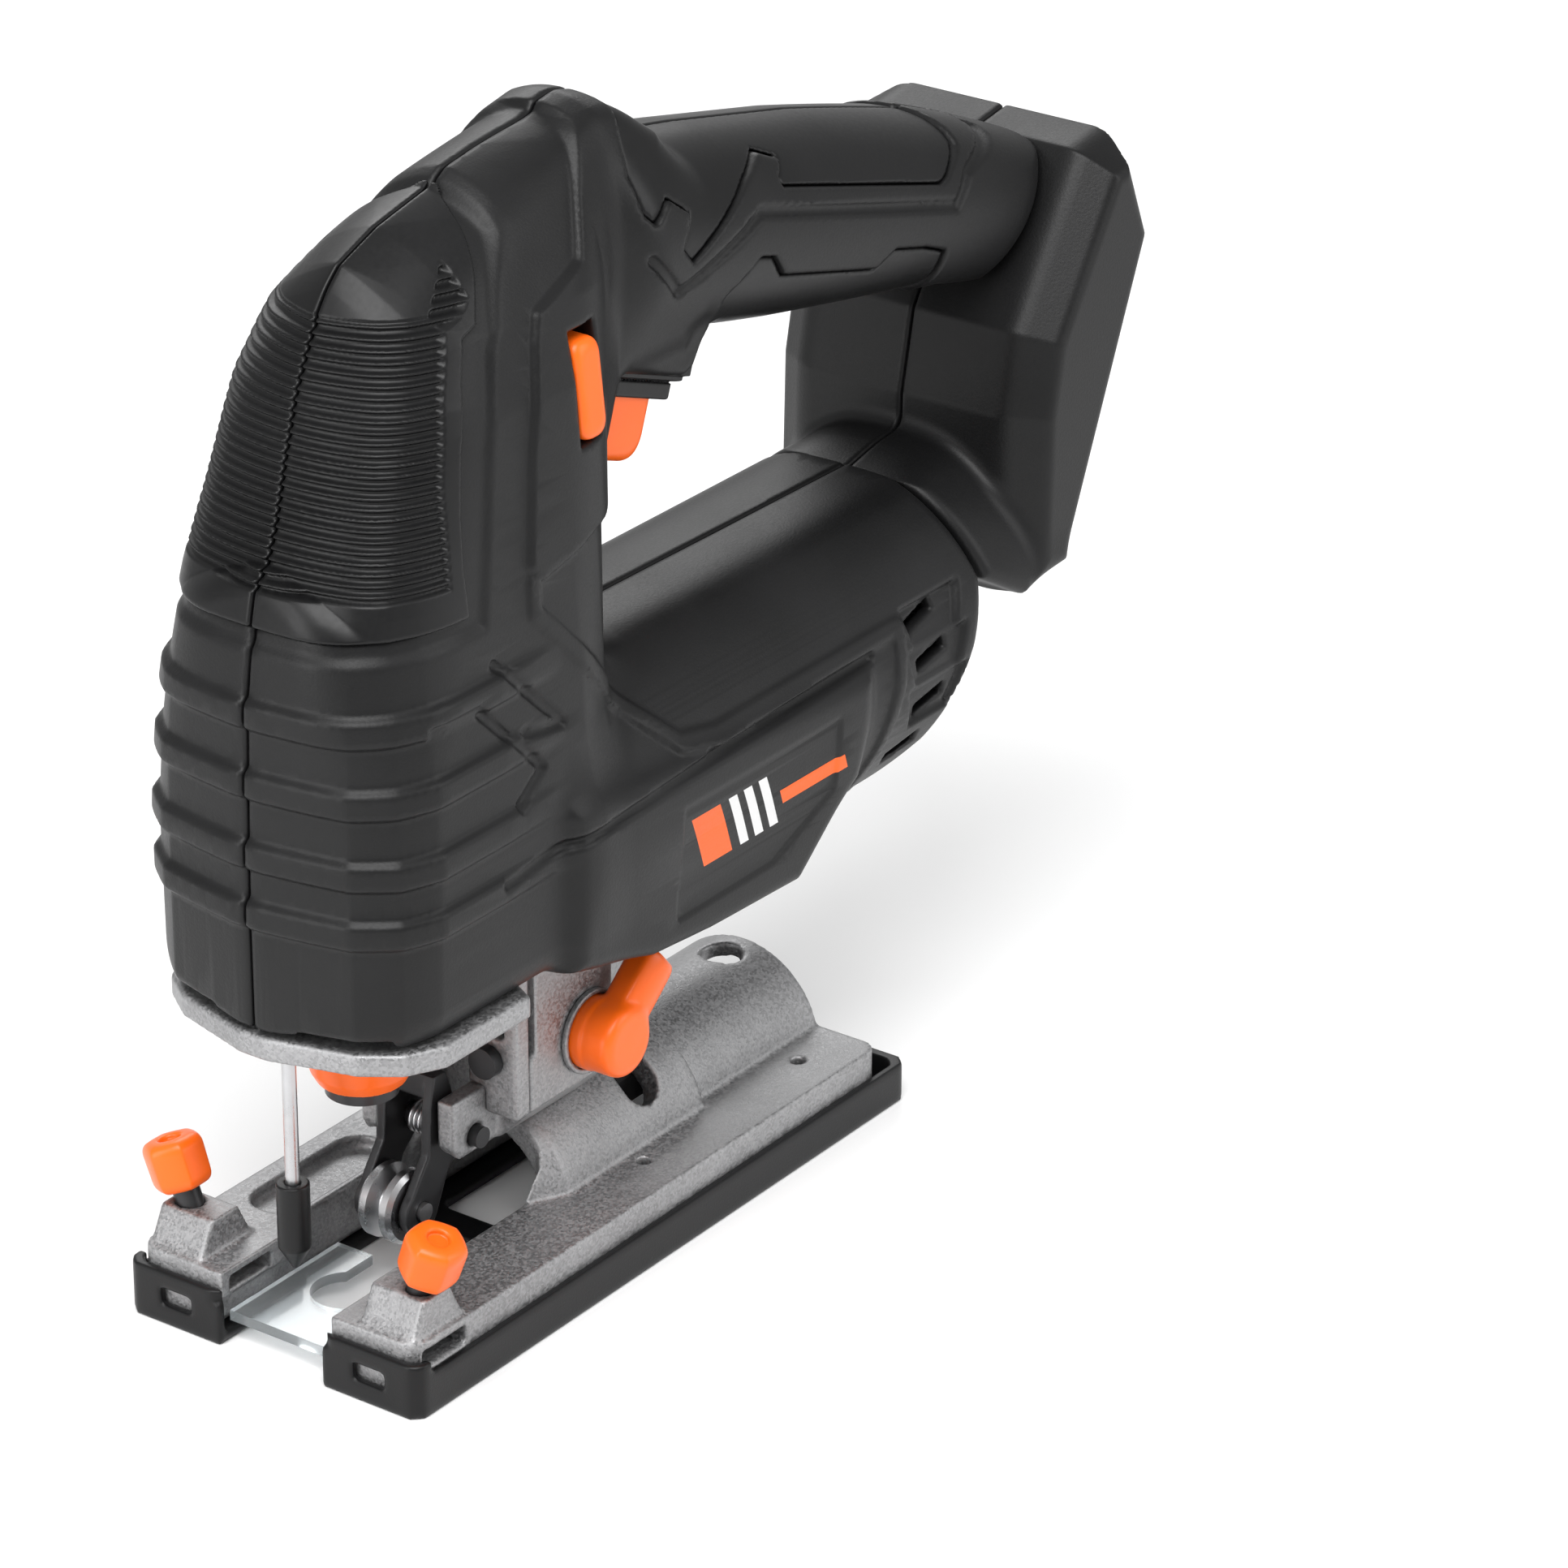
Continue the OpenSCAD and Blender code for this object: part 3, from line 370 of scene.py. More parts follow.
def smin(a: Field, b: Field, k: float) -> Field:
    """The smaller of two fields, blended over k mm: a filleted union."""
    return -smax(-a, -b, k)


def inside(d: Field, width: float) -> Field:
    """1 inside a form, 0 outside, with a soft border."""
    t = np.clip(0.5 - d / width, 0.0, 1.0)
    return t * t * (3.0 - 2.0 * t)


class Outline:
    """Signed distance to a closed outline, negative inside."""

    def __init__(self, points: Sequence[Pair], both_sides: bool = False) -> None:
        """Keeps the corners, with their mirror images across u = 0 if both_sides is set."""
        self.points = list(points)
        if both_sides:
            self.points += [(-u, v) for u, v in reversed(self.points)]

    def __call__(self, u: Field, v: Field) -> Field:
        """The signed distance in mm at each (u, v)."""
        best: Field = np.float32(FAR)
        odd = np.zeros((), bool)
        for (ax, ay), (bx, by) in zip(self.points, self.points[1:] + self.points[:1]):
            ex, ey = bx - ax, by - ay
            wx, wy = u - ax, v - ay
            t = np.clip((wx * ex + wy * ey) / (ex * ex + ey * ey), 0.0, 1.0)
            best = np.minimum(best, (wx - ex * t) ** 2 + (wy - ey * t) ** 2)
            if ey:
                odd = odd ^ (((ay > v) != (by > v)) & (u < ex * (v - ay) / ey + ax))
        return (np.where(odd, -1.0, 1.0) * np.sqrt(best)).astype(np.float32)


class Path:
    """Distance to an open line of points."""

    def __init__(self, points: Sequence[Pair]) -> None:
        """Keeps the line's points."""
        self.points = list(points)

    def __call__(self, u: Field, v: Field) -> Field:
        """The distance in mm at each (u, v)."""
        best: Field = np.float32(FAR)
        for (ax, ay), (bx, by) in zip(self.points, self.points[1:]):
            ex, ey = bx - ax, by - ay
            wx, wy = u - ax, v - ay
            t = np.clip((wx * ex + wy * ey) / (ex * ex + ey * ey), 0.0, 1.0)
            best = np.minimum(best, (wx - ex * t) ** 2 + (wy - ey * t) ** 2)
        return np.sqrt(best).astype(np.float32)


def surface(form: Form, low: Sequence[float], high: Sequence[float], pitch: float) -> tuple[Field, Field]:
    """Meshes the zero level of a form inside a box, with one vertex in each cell it crosses.

    Args:
        form: signed distance in mm.
        low, high: the box's corners in mm.
        pitch: cell size in mm.
    Returns:
        Vertices in mm and quads.
    """
    axes = [np.arange(low[i] - 2 * pitch, high[i] + 3 * pitch, pitch, np.float32) for i in range(3)]
    x, y, z = axes[0][:, None, None], axes[1][None, :, None], axes[2][None, None, :]
    f = np.broadcast_to(form(x, y, z), tuple(len(a) for a in axes)).astype(np.float32)
    solid = f < 0
    n = tuple(s - 1 for s in f.shape)
    count = np.zeros(n, np.int8)
    for i in (0, 1):
        for j in (0, 1):
            for k in (0, 1):
                count += solid[i:i + n[0], j:j + n[1], k:k + n[2]]
    cells = np.argwhere((count > 0) & (count < 8))
    index = np.full(n, -1, np.int32)
    index[tuple(cells.T)] = np.arange(len(cells))
    total = np.zeros((len(cells), 3), np.float64)
    hits = np.zeros(len(cells))
    for axis in range(3):
        others = [a for a in range(3) if a != axis]
        for p in (0, 1):
            for q in (0, 1):
                a = cells.copy()
                a[:, others[0]] += p
                a[:, others[1]] += q
                b = a.copy()
                b[:, axis] += 1
                fa, fb = f[tuple(a.T)], f[tuple(b.T)]
                cross = (fa < 0) != (fb < 0)
                t = np.where(cross, fa / np.where(cross, fa - fb, 1.0), 0.0)
                point = a.astype(np.float64)
                point[:, axis] += t
                total[cross] += point[cross]
                hits[cross] += 1
    points = total / hits[:, None] * pitch + np.array([a[0] for a in axes])
    quads = []
    for axis in range(3):
        u, v = [a for a in range(3) if a != axis]
        lo = [slice(None)] * 3
        hi = [slice(None)] * 3
        lo[axis], hi[axis] = slice(0, -1), slice(1, None)
        for s in (u, v):
            lo[s] = hi[s] = slice(1, -1)
        a, b = solid[tuple(lo)], solid[tuple(hi)]
        for rising in (True, False):
            at = np.argwhere(a & ~b if rising else ~a & b)
            at[:, u] += 1
            at[:, v] += 1
            ring = []
            for p, q in ((-1, -1), (0, -1), (0, 0), (-1, 0)):
                c = at.copy()
                c[:, u] += p
                c[:, v] += q
                ring.append(index[tuple(c.T)])
            if rising == (axis == 1):
                ring.reverse()
            quads.append(np.stack(ring, 1))
    return settle(form, points, pitch), np.concatenate(quads)


def settle(form: Form, points: Field, pitch: float) -> Field:
    """Moves points onto the form's surface along its slope.

    Args:
        form: signed distance in mm.
        points: rows of x, y and z in mm.
        pitch: cell size in mm; a point moves by less than half of it.
    Returns:
        The moved points.
    """
    step = 0.3 * pitch
    for _ in range(2):
        x, y, z = points.T
        here = form(x, y, z)
        slope = np.stack([form(x + step, y, z) - here, form(x, y + step, z) - here,
                          form(x, y, z + step) - here], 1) / step
        size = np.maximum((slope ** 2).sum(1), 0.25)
        move = slope * (here / size)[:, None]
        length = np.linalg.norm(move, axis=1, keepdims=True)
        points = points - move * np.minimum(1.0, 0.45 * pitch / np.maximum(length, 1e-9))
    return points


# ---------------------------------------------------------------- pieces


@dataclass
class Piece:
    """A finished mesh that rides on a CAD body."""

    name: str
    body: str
    finish: Finish
    stands_for: tuple[str, ...] = ()

    def place(self, obj: bpy.types.Object, smooth: bool = True) -> bpy.types.Object:
        """Gives the object its name, finish and smooth shading, hangs it on its body and hides the CAD
        nodes it stands for.

        Args:
            obj: the mesh, in the row frame.
            smooth: whether its faces are smooth shaded.
        Returns:
            The object.
        """
        obj.name = self.name
        obj.data.name = self.name
        if not obj.data.materials:
            obj.data.materials.append(self.finish.material)
        for polygon in obj.data.polygons:
            polygon.use_smooth = smooth
        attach(obj, self.body)
        if self.stands_for:
            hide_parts(*self.stands_for)
        log.info("%s: %d faces on %s", self.name, len(obj.data.polygons), self.body)
        return obj


def link(name: str, data: bpy.types.ID) -> bpy.types.Object:
    """An object of a mesh, a lamp or a camera, in the scene."""
    obj = bpy.data.objects.new(name, data)
    bpy.context.scene.collection.objects.link(obj)
    return obj


def new_object(name: str, points: Field, faces: Field) -> bpy.types.Object:
    """A mesh object from points in metres and rows of corner numbers."""
    mesh = bpy.data.meshes.new(name)
    mesh.from_pydata(points.tolist(), [], faces.tolist())
    mesh.validate()
    return link(name, mesh)


def bake(obj: bpy.types.Object) -> bpy.types.Object:
    """Turns an object's modifiers into plain mesh.

    Args:
        obj: the object, which keeps no modifier.
    Returns:
        The same object.
    """
    graph = bpy.context.evaluated_depsgraph_get()
    mesh = bpy.data.meshes.new_from_object(obj.evaluated_get(graph), depsgraph=graph)
    obj.modifiers.clear()
    obj.data = mesh
    return obj


def modifier(obj: bpy.types.Object, kind: str, **settings) -> bpy.types.Modifier:
    """Adds a modifier.

    Args:
        obj: the object it goes on.
        kind: the modifier's type.
        settings: its properties.
    Returns:
        The modifier.
    """
    made = obj.modifiers.new(kind.lower(), kind)
    for key, value in settings.items():
        setattr(made, key, value)
    return made


def thin_out(obj: bpy.types.Object, limit: int) -> bpy.types.Object:
    """Keeps a mesh under a number of triangles.

    Args:
        obj: the mesh.
        limit: most triangles.
    Returns:
        The same object.
    """
    count = sum(len(p.vertices) - 2 for p in obj.data.polygons)
    if count > limit:
        modifier(obj, "DECIMATE", ratio=limit / count)
        bake(obj)
    return obj


def copy_of(node: str) -> bpy.types.Object:
    """A new mesh from a CAD node, with its doubled points merged and its flats made whole.

    Args:
        node: the CAD node.
    Returns:
        The new object, named after the node.
    """
    work = bmesh.new()
    work.from_mesh(frame["nodes"][node].data)
    bmesh.ops.remove_doubles(work, verts=work.verts, dist=1e-5)
    bmesh.ops.dissolve_limit(work, angle_limit=math.radians(1.5), verts=work.verts, edges=work.edges)
    mesh = bpy.data.meshes.new(node)
    work.to_mesh(mesh)
    work.free()
    return link(node, mesh)


def cast_copy(node: str, pitch: float, rounds: int, limit: int) -> bpy.types.Object:
    """A copy of a CAD node with every edge rounded, as a casting or a moulding has them.

    Args:
        node: the CAD node.
        pitch: voxel size in metres, about the edge radius.
        rounds: smoothing passes.
        limit: most triangles.
    Returns:
        The new object.
    """
    obj = copy_of(node)
    modifier(obj, "REMESH", mode="VOXEL", voxel_size=pitch, adaptivity=0.0)
    modifier(obj, "SMOOTH", factor=0.6, iterations=rounds)
    return thin_out(bake(obj), limit)


def bmesh_fix(obj: bpy.types.Object) -> None:
    """Merges stray points and turns every face outward."""
    work = bmesh.new()
    work.from_mesh(obj.data)
    bmesh.ops.remove_doubles(work, verts=work.verts, dist=1e-6)
    bmesh.ops.recalc_face_normals(work, faces=work.faces)
    work.to_mesh(obj.data)
    work.free()


def mirrored(obj: bpy.types.Object, name: str) -> bpy.types.Object:
    """The object's mirror image across the middle plane.

    Args:
        obj: the mesh.
        name: the new object's name.
    Returns:
        The new object.
    """
    mesh = obj.data.copy()
    mesh.transform(Matrix.Scale(-1, 4, Vector((0, 1, 0))))
    mesh.flip_normals()
    return link(name, mesh)


# ---------------------------------------------------------------- outlines of the case, mm


NOSE = Outline([(-77, 66.5), (-77, 88), (-76, 107), (-74.6, 129), (-72.3, 140.8), (-69.8, 151.5),
                (-66.3, 158), (-63.9, 168.5), (-60.1, 180.6), (-55.1, 190.5), (-51.6, 196.4),
                (-48.2, 200.2), (-37.7, 203.6), (-24.4, 205.8), (-19.6, 208.9), (2.2, 211.1),
                (10.6, 213.4), (18, 208.5), (26, 202), (30, 181), (30, 163), (14, 163), (3, 150),
                (3, 122), (10, 100), (4, 62), (-24, 66.5)])
FRONT = Outline([(-26, 60), (-30, 72), (-31, 96), (-29, 118), (-26, 150), (-24, 172), (-21, 186),
                 (-16, 196), (-12.5, 203), (-9, 211), (-5, 214)], True)
CORNER = Outline([(-66, 60), (-66, 100), (-62.5, 119), (-56, 145), (-51.2, 160), (-46.5, 177),
                  (-40.3, 189), (-31, 197.5), (-24, 203.5), (-15, 209), (-8, 214), (200, 214), (200, 60)])
CROWN = Outline([(-100, -300), (-100, 150), (-68, 157), (-60.1, 181), (-55.1, 191), (-51.6, 196.6),
                 (-48.2, 200.4), (-37.7, 203.8), (-24.4, 206), (-19.6, 209), (2.2, 211.3),
                 (10.6, 213.6), (60, 213.6), (60, -300)])
PLAN = Outline([(3, -77.2), (20, -72.5), (27, -67.5), (31, -60), (31, -18), (25.5, -9), (17, 1),
                (14, 9), (13, 31)], True)
HOOD = Outline([(2, 172), (11, 163), (32, 155.4), (35, 156.4), (39.5, 164), (32, 178)])
BARREL = Outline([(-20, 62), (0, 59), (24, 56), (48, 54), (74, 55.5), (90, 66), (99, 84), (103, 96),
                  (99, 113.6), (-20, 115.5)])
CHEEK = Outline([(-24, 66.5), (-2, 60), (15, 58.5), (42, 57.5), (60, 72), (62, 90), (-24, 96)])
GRIP = Outline([(12, 208), (26, 202), (45, 200), (80, 193), (112, 181.5), (140.5, 168.4), (124, 143),
                (112, 147), (85, 150), (60, 153), (40, 157), (30, 163), (12, 163)])
SLAB = Outline([(140.5, 168.4), (150.5, 170), (159, 149.5), (131.5, 86.5), (116, 88), (117, 122.4),
                (120.4, 138)])
NECK = Outline([(104, 95), (99.5, 112.6), (108, 114.6), (122, 117), (128, 117), (128, 92), (116, 88)])
GAP = Outline([(3.4, 116), (3.4, 149), (11, 162.8), (32, 155.3), (34.5, 156), (38.5, 161.4), (44.5, 159),
               (60, 154), (85, 149.6), (104, 148), (112, 146.4), (119, 139), (116, 123.4), (107, 115.4)])
DOCK_ZONE = Outline([(174.6, 220), (140.5, 168.4), (120.4, 138), (117, 122.4), (108, 114.6),
                     (99.5, 112.6), (104, 95), (120, 60), (300, 60), (300, 220)])
NOSE_GRIP = Outline([(-90, 141.2), (-90, 215), (-22.2, 215), (-22.2, 204.8), (-25.5, 201.9),
                     (-30.5, 194.2), (-35.1, 187.9), (-38.9, 186.5), (-41.5, 180.3), (-44.8, 169.3),
                     (-46.9, 158.3), (-47.8, 150), (-47.6, 141.2)])
NOSE_STRIP = Outline([(-90, 138), (-90, 216), (-22, 216), (-22, 199), (-28.7, 190.5), (-33.5, 183),
                      (-36, 175), (-38, 167.3), (-43.5, 138)])
HAND_CHANNEL = Path([(14.2, 184), (21.6, 175.9), (45.8, 183.5), (105.9, 167.1), (111.7, 171.7),
                     (125.9, 174.6)])
NOSE_RIBS = Outline([(-90, 147.5), (-90, 190.5), (-42.5, 190.5), (-34.5, 197), (-34.5, 192),
                     (-37.5, 190), (-41.8, 188.8), (-46.8, 177.5), (-49.9, 164.6), (-51.5, 147.5)])
HAND_GRIP = Outline([(15.8, 216), (15.8, 209.2), (14, 205.9), (12.5, 198.9), (13.6, 192.1),
                     (15.7, 189.9), (20.5, 193), (25.5, 189.2), (22, 184), (24.8, 180.6), (32.7, 184),
                     (44.7, 189.2), (52.4, 191.5), (57.6, 189.1), (54.2, 186.5), (54.7, 185.2),
                     (102.6, 171.8), (105.4, 172.4), (112, 176), (120, 190), (120, 216)])
HAND_GRIP_LOW = Outline([(38, 140), (38, 162.8), (37.2, 170.2), (44.7, 175.6), (49.1, 174.4),
                         (52.8, 169.6), (81.9, 161.6), (86.7, 164.3), (96.7, 161.6), (103.5, 158.8),
                         (103, 140)])
INSET_PANEL = Outline([(53.8, 179.7), (88.2, 170.4), (81.3, 166.9), (57.7, 173.5)])
COLLAR = Outline([(5.5, 216), (5.5, 209.9), (3.9, 208.3), (1.2, 204.1), (-1.5, 199.6), (-5.4, 192.8),
                  (-6.9, 190.6), (-12.5, 188.9), (-21.7, 186.2), (-23.5, 181.9), (-28.2, 164.1),
                  (-31.3, 144.4), (-28.3, 141.2), (-11.6, 144.7), (60, 150), (200, 140), (200, 216)])
BAND = Path([(-30.2, 141.4), (-30.4, 136.1), (-9.9, 115.2), (8.5, 97.6), (18.4, 96), (68.7, 96.4),
             (74.5, 96.3), (73, 85), (66, 65)])
LABEL = Outline([(5.1, 86.9), (52.5, 86.9), (51.6, 72.5), (33.1, 65), (4, 64.8)])
GROOVES = (
    Path([(-42.1, 130.6), (-24.7, 113.9), (-35.5, 115.8)]),
    Path([(-59.6, 124.7), (-48, 124.7), (-31, 108), (-38, 103)]),
    Path([(-43.1, 90.6), (-17.7, 91.9), (15.1, 93), (65.3, 93.6)]),
)
VENT_POCKETS = tuple(Outline([(77.0, v + 4), (95.5, v + 4), (92.5, v - 3.6), (79.0, v - 3.6)])
                     for v in (94.0, 86.2, 78.2))
VENTS = ((83.0, 94.9), (85.1, 87.0), (85.7, 77.6), (79.2, 69.5))
VENT_TILT = math.radians(12)
RIDGES = (126.3, 113.6, 100.6, 89.6)

# Places of the moving pieces, as in the CAD model.
MOTOR_Z = 85.0
TRIGGER = (25.0, 158.0)
TRIGGER_TILT = math.radians(20)
LOCK = (-11.2, 170.0)
ORBIT = (-5.2, 43.0)
LEVER_TURN = math.radians(40)
FENCE = (-64.0, 25.5, 17.5)
FENCE_TILT = math.radians(20)

# The case's wall, its soft skin, its half width and half the gap between its halves.
WALL = 2.2
GRIP_T = 2.0
HALF_W = 31.0
SEAM = 0.16
RIB_PITCH = 1.72
MARGIN = 7.0


def nose(x: Field, y: Field, z: Field) -> Field:
    """The tall front of the case, cut from its outlines in side, front and plan view."""
    turn, tilt = math.radians(52.9), math.radians(24)
    w = np.sqrt(y * y + 4.0) - 0.6
    corner = CORNER(x * math.cos(turn) - np.abs(y) * math.sin(turn), z)
    crown = CROWN(x, 205 + (z - 205) * math.cos(tilt) + w * math.sin(tilt))
    d = smax(NOSE(x, z), FRONT(y, z), 4.0)
    d = smax(d, PLAN(y, x), 6.0)
    d = smax(d, corner, 7.0)
    return smax(d, crown, 5.0)


def tube(y: Field, z: Field) -> Field:
    """The round of the motor barrel."""
    return np.sqrt(y * y + (z - MOTOR_Z) ** 2) - HALF_W


def barrel(x: Field, y: Field, z: Field) -> Field:
    """The motor barrel with its flat cheeks."""
    round_part = smax(BARREL(x, z), tube(y, z), 3.0)
    cheek = smax(CHEEK(x, z), np.abs(y) - HALF_W - 0.4, 3.0)
    return smin(round_part, cheek, 5.0)


def handle(x: Field, y: Field, z: Field) -> Field:
    """The D handle's upper bar."""
    tilt = math.radians(12.6)
    v = (z - 187.8) * math.cos(tilt) + x * math.sin(tilt)
    return smax(GRIP(x, z), np.sqrt(y * y + v * v) - 19.0, 8.0)


def dock(x: Field, y: Field, z: Field) -> Field:
    """The battery dock's slab and neck."""
    p, t = SLAB(x, z), np.abs(y) - HALF_W
    slab = smax(smax(p, t, 2.0), p * 0.848 + t * 0.53 + 4.24, 1.5)
    neck = smax(NECK(x, z), tube(y, z), 3.0)
    return smin(slab, neck, 3.0)


def case(x: Field, y: Field, z: Field) -> Field:
    """The plain outside of the case, without its dock."""
    d = smin(nose(x, y, z), barrel(x, y, z), 6.0)
    d = smin(d, handle(x, y, z), 6.0)
    hood = smax(HOOD(x, z), np.abs(y) - 11.5, 3.0)
    d = smin(d, hood, 3.0)
    return smax(d, -GAP(x, z), 3.0)


def block(x: Field, y: Field, z: Field, low: Sequence[float], high: Sequence[float]) -> Field:
    """A box between two corners.

    Args:
        x, y, z: where the form is measured.
        low, high: the corners in mm.
    Returns:
        The box's form.
    """
    sides = [np.abs(v - (a + b) / 2) - (b - a) / 2 for v, a, b in zip((x, y, z), low, high)]
    return np.maximum(np.maximum(sides[0], sides[1]), sides[2])


# ---------------------------------------------------------------- the case


def dressed(x: Field, y: Field, z: Field) -> Field:
    """The case with the relief of its moulded panels."""
    d = case(x, y, z)
    relief = 1.2 * inside(COLLAR(x, z), 1.3)
    band = BAND(x, z) - 1.6
    relief = np.maximum(relief, 0.7 * inside(band, 1.0))
    relief = relief - 0.9 * inside(NOSE_STRIP(x, z), 2.4)
    relief = relief - 0.9 * inside(HAND_CHANNEL(x, z) - 0.9, 0.9)
    fade = np.clip((-24 - x) / 18, 0.0, 1.0)
    for level in RIDGES:
        relief = relief + 1.3 * fade * inside(np.abs(z - level) - 2.5, 1.6)
    for groove in GROOVES:
        relief = relief - 0.9 * inside(groove(x, z) - 0.9, 1.0)
    relief = relief - 0.5 * inside(LABEL(x, z), 0.8) * (np.abs(y) > 20)
    for pocket in VENT_POCKETS:
        relief = relief - 1.3 * inside(pocket(x, z), 1.6)
    return d - relief.astype(np.float32)


def grip_zone(x: Field, y: Field, z: Field) -> Field:
    """Where the soft skins lie."""
    hand = np.minimum(HAND_GRIP(x, z), HAND_GRIP_LOW(x, z))
    return np.minimum(NOSE_GRIP(x, z), hand)


def cuts(x: Field, y: Field, z: Field) -> Field:
    """What is cut out of the case: dock, gear head, button and vents."""
    d = DOCK_ZONE(x, z) - 0.15
    throat = block(x, y, z, (-63, -24, 40), (-13.4, 24, 76))
    throat = np.minimum(throat, block(x, y, z, (-74, -24, 40), (-40, 24, 69)))
    throat = np.minimum(throat, block(x, y, z, (-40, -18.4, 40), (2.4, 18.4, 70)))
    d = np.minimum(d, throat)
    button = block(x, y, z, (LOCK[0] - 4.0, -40, LOCK[1] - 9.4), (LOCK[0] + 4.0, 40, LOCK[1] + 11.0))
    d = np.minimum(d, button)
    c, s = math.cos(VENT_TILT), math.sin(VENT_TILT)
    for vx, vz in VENTS:
        u, v = (x - vx) * c + (z - vz) * s, (z - vz) * c - (x - vx) * s
        slot = np.maximum(np.abs(u) - 4.6, np.abs(v) - 1.2)
        d = np.minimum(d, np.maximum(slot, 12 - np.abs(y)))
    return d


def trigger_frame(x: Field, z: Field) -> tuple[Field, Field]:
    """Distances across and along the trigger's slide, from its middle."""
    c, s = math.cos(TRIGGER_TILT), math.sin(TRIGGER_TILT)
    u = (x - TRIGGER[0]) * c - (z - TRIGGER[1]) * s
    v = (x - TRIGGER[0]) * s + (z - TRIGGER[1]) * c
    return u, v


def trigger_mouth(x: Field, y: Field, z: Field) -> Field:
    """The opening the trigger comes out of."""
    u, v = trigger_frame(x, z)
    return np.maximum(np.maximum(np.abs(u - 0.7) - 10.3, np.abs(y) - 10.2), np.abs(v + 8) - 22)


def trigger(x: Field, y: Field, z: Field) -> Field:
    """The trigger, with a rounded pad."""
    u, v = trigger_frame(x, z)
    d = smax(np.abs(u + 0.4) - 7.4, np.abs(v + 7) - 10.2, 5.0)
    return smax(d, np.abs(y) - 7.4, 3.0)


def boot(x: Field, y: Field, z: Field) -> Field:
    """The stepped rubber boot round the trigger: two flanges with a groove between them."""
    u, v = trigger_frame(x, z)
    size = 1.3 * inside(-1.8 - v, 0.4) + 0.9 * inside(-0.4 - v, 0.4)
    size = size - 0.7 * inside(np.abs(v + 1.8) - 0.3, 0.4)
    d = smax(np.abs(u - 1.5) - 9.0 - size, np.abs(y) - 8.4 - size, 1.5)
    d = smax(d, np.abs(v + 0.6) - 4.6, 0.6)
    hole = smax(np.abs(u) - 7.4, np.abs(y) - 7.6, 3.0)
    return smax(d, -hole, 0.4)


def lock(x: Field, y: Field, z: Field) -> Field:
    """The safety button, a pad on each side."""
    u, w = x - LOCK[0], z - LOCK[1]
    pad = smax(np.abs(u) - 3.6, np.abs(w) - 8.9, 3.0)
    lean = 0.11 * (LOCK[1] - z)
    near = smax(pad, np.abs(y + lean + 20.4) - 5.0, 2.0)
    far = smax(pad, np.abs(y - lean - 20.0) - 2.5, 1.5)
    bar = np.maximum(np.sqrt(u * u + w * w) - 3, np.abs(y) - 19)
    return np.minimum(np.minimum(near, far), bar)


def orbit_lever(x: Field, y: Field, z: Field) -> Field:
    """The orbit lever: a round hub with a faceted arm."""
    u, w, v = x - ORBIT[0], z - ORBIT[1], -y - 18.0
    along = u * math.cos(LEVER_TURN) + w * math.sin(LEVER_TURN)
    across = -u * math.sin(LEVER_TURN) + w * math.cos(LEVER_TURN)
    round_d = np.sqrt(u * u + w * w)
    hub = smax(round_d - 6.7, np.abs(v - 5.0) - 4.6, 2.2)
    arm = smax(np.abs(along - 8) - 9.2, np.abs(across) - 4.6, 2.2)
    arm = smax(arm, np.abs(v - 5.4) - 3.4, 1.8)
    arm = smax(arm, (np.abs(across) * 0.5 + (v - 5.4) * 0.86) - 3.9, 1.0)
    foot = smax(round_d - 6.9, np.abs(v - 1.7) - 1.4, 0.5)
    hole = np.maximum(round_d - 3.02, v - 8.0)
    return np.maximum(smin(smin(hub, arm, 1.2), foot, 0.6), -hole)


def fence_knob(side: int) -> Form:
    """A rounded hexagonal thumb knob on its tilted screw.

    Args:
        side: -1 for the low Y side, 1 for the other.
    Returns:
        The knob's form.
    """
    c, s = math.cos(FENCE_TILT), math.sin(FENCE_TILT)

    def form(x: Field, y: Field, z: Field) -> Field:
        """The knob, with h along its screw."""
        u = x - FENCE[0]
        w = (y - side * FENCE[1]) * c - (z - FENCE[2]) * side * s
        h = (y - side * FENCE[1]) * side * s + (z - FENCE[2]) * c
        round_d = np.sqrt(u * u + w * w)
        across = np.maximum(np.abs(w), np.abs(u) * 0.866 + np.abs(w) * 0.5)
        d = smax(across - 5.3 - 0.05 * (h - 10), round_d - 6.0, 1.6)
        d = smax(d, np.abs(h - 10.0) - 4.8, 2.4)
        d = smax(d, -np.maximum(round_d - 2.0, 13.8 - h), 0.7)
        return np.maximum(d, -np.maximum(round_d - 2.62, h - 8.4))

    return form


def shell(x: Field, y: Field, z: Field) -> Field:
    """One moulded half of the case, on the low Y side."""
    out = dressed(x, y, z)
    skin = grip_zone(x, y, z) - 0.1
    plain = case(x, y, z)
    recess = np.maximum(-(plain + GRIP_T), skin)
    d = smax(out, -recess, 0.5)
    d = np.maximum(d, -(plain + WALL + GRIP_T))
    d = smax(d, -cuts(x, y, z), 0.8)
    d = smax(d, -trigger_mouth(x, y, z), 0.8)
    return smax(d, y + SEAM, 0.9)


def nose_skin(x: Field, y: Field, z: Field) -> Field:
    """The ribbed soft skin on the nose."""
    c = case(x, y, z)
    zone = NOSE_GRIP(x, z)
    ribbed = inside(NOSE_RIBS(x, z), 1.0)
    wave = 0.5 + 0.5 * np.cos((z - 147) * (2 * math.pi / RIB_PITCH))
    relief = 0.5 - 0.8 * ribbed * (1 - wave ** 2)
    d = c - relief.astype(np.float32)
    d = smax(d, -(c + GRIP_T - 0.05), 0.3)
    d = smax(d, zone + 0.1, 0.7)
    return smax(d, y + SEAM, 0.7)


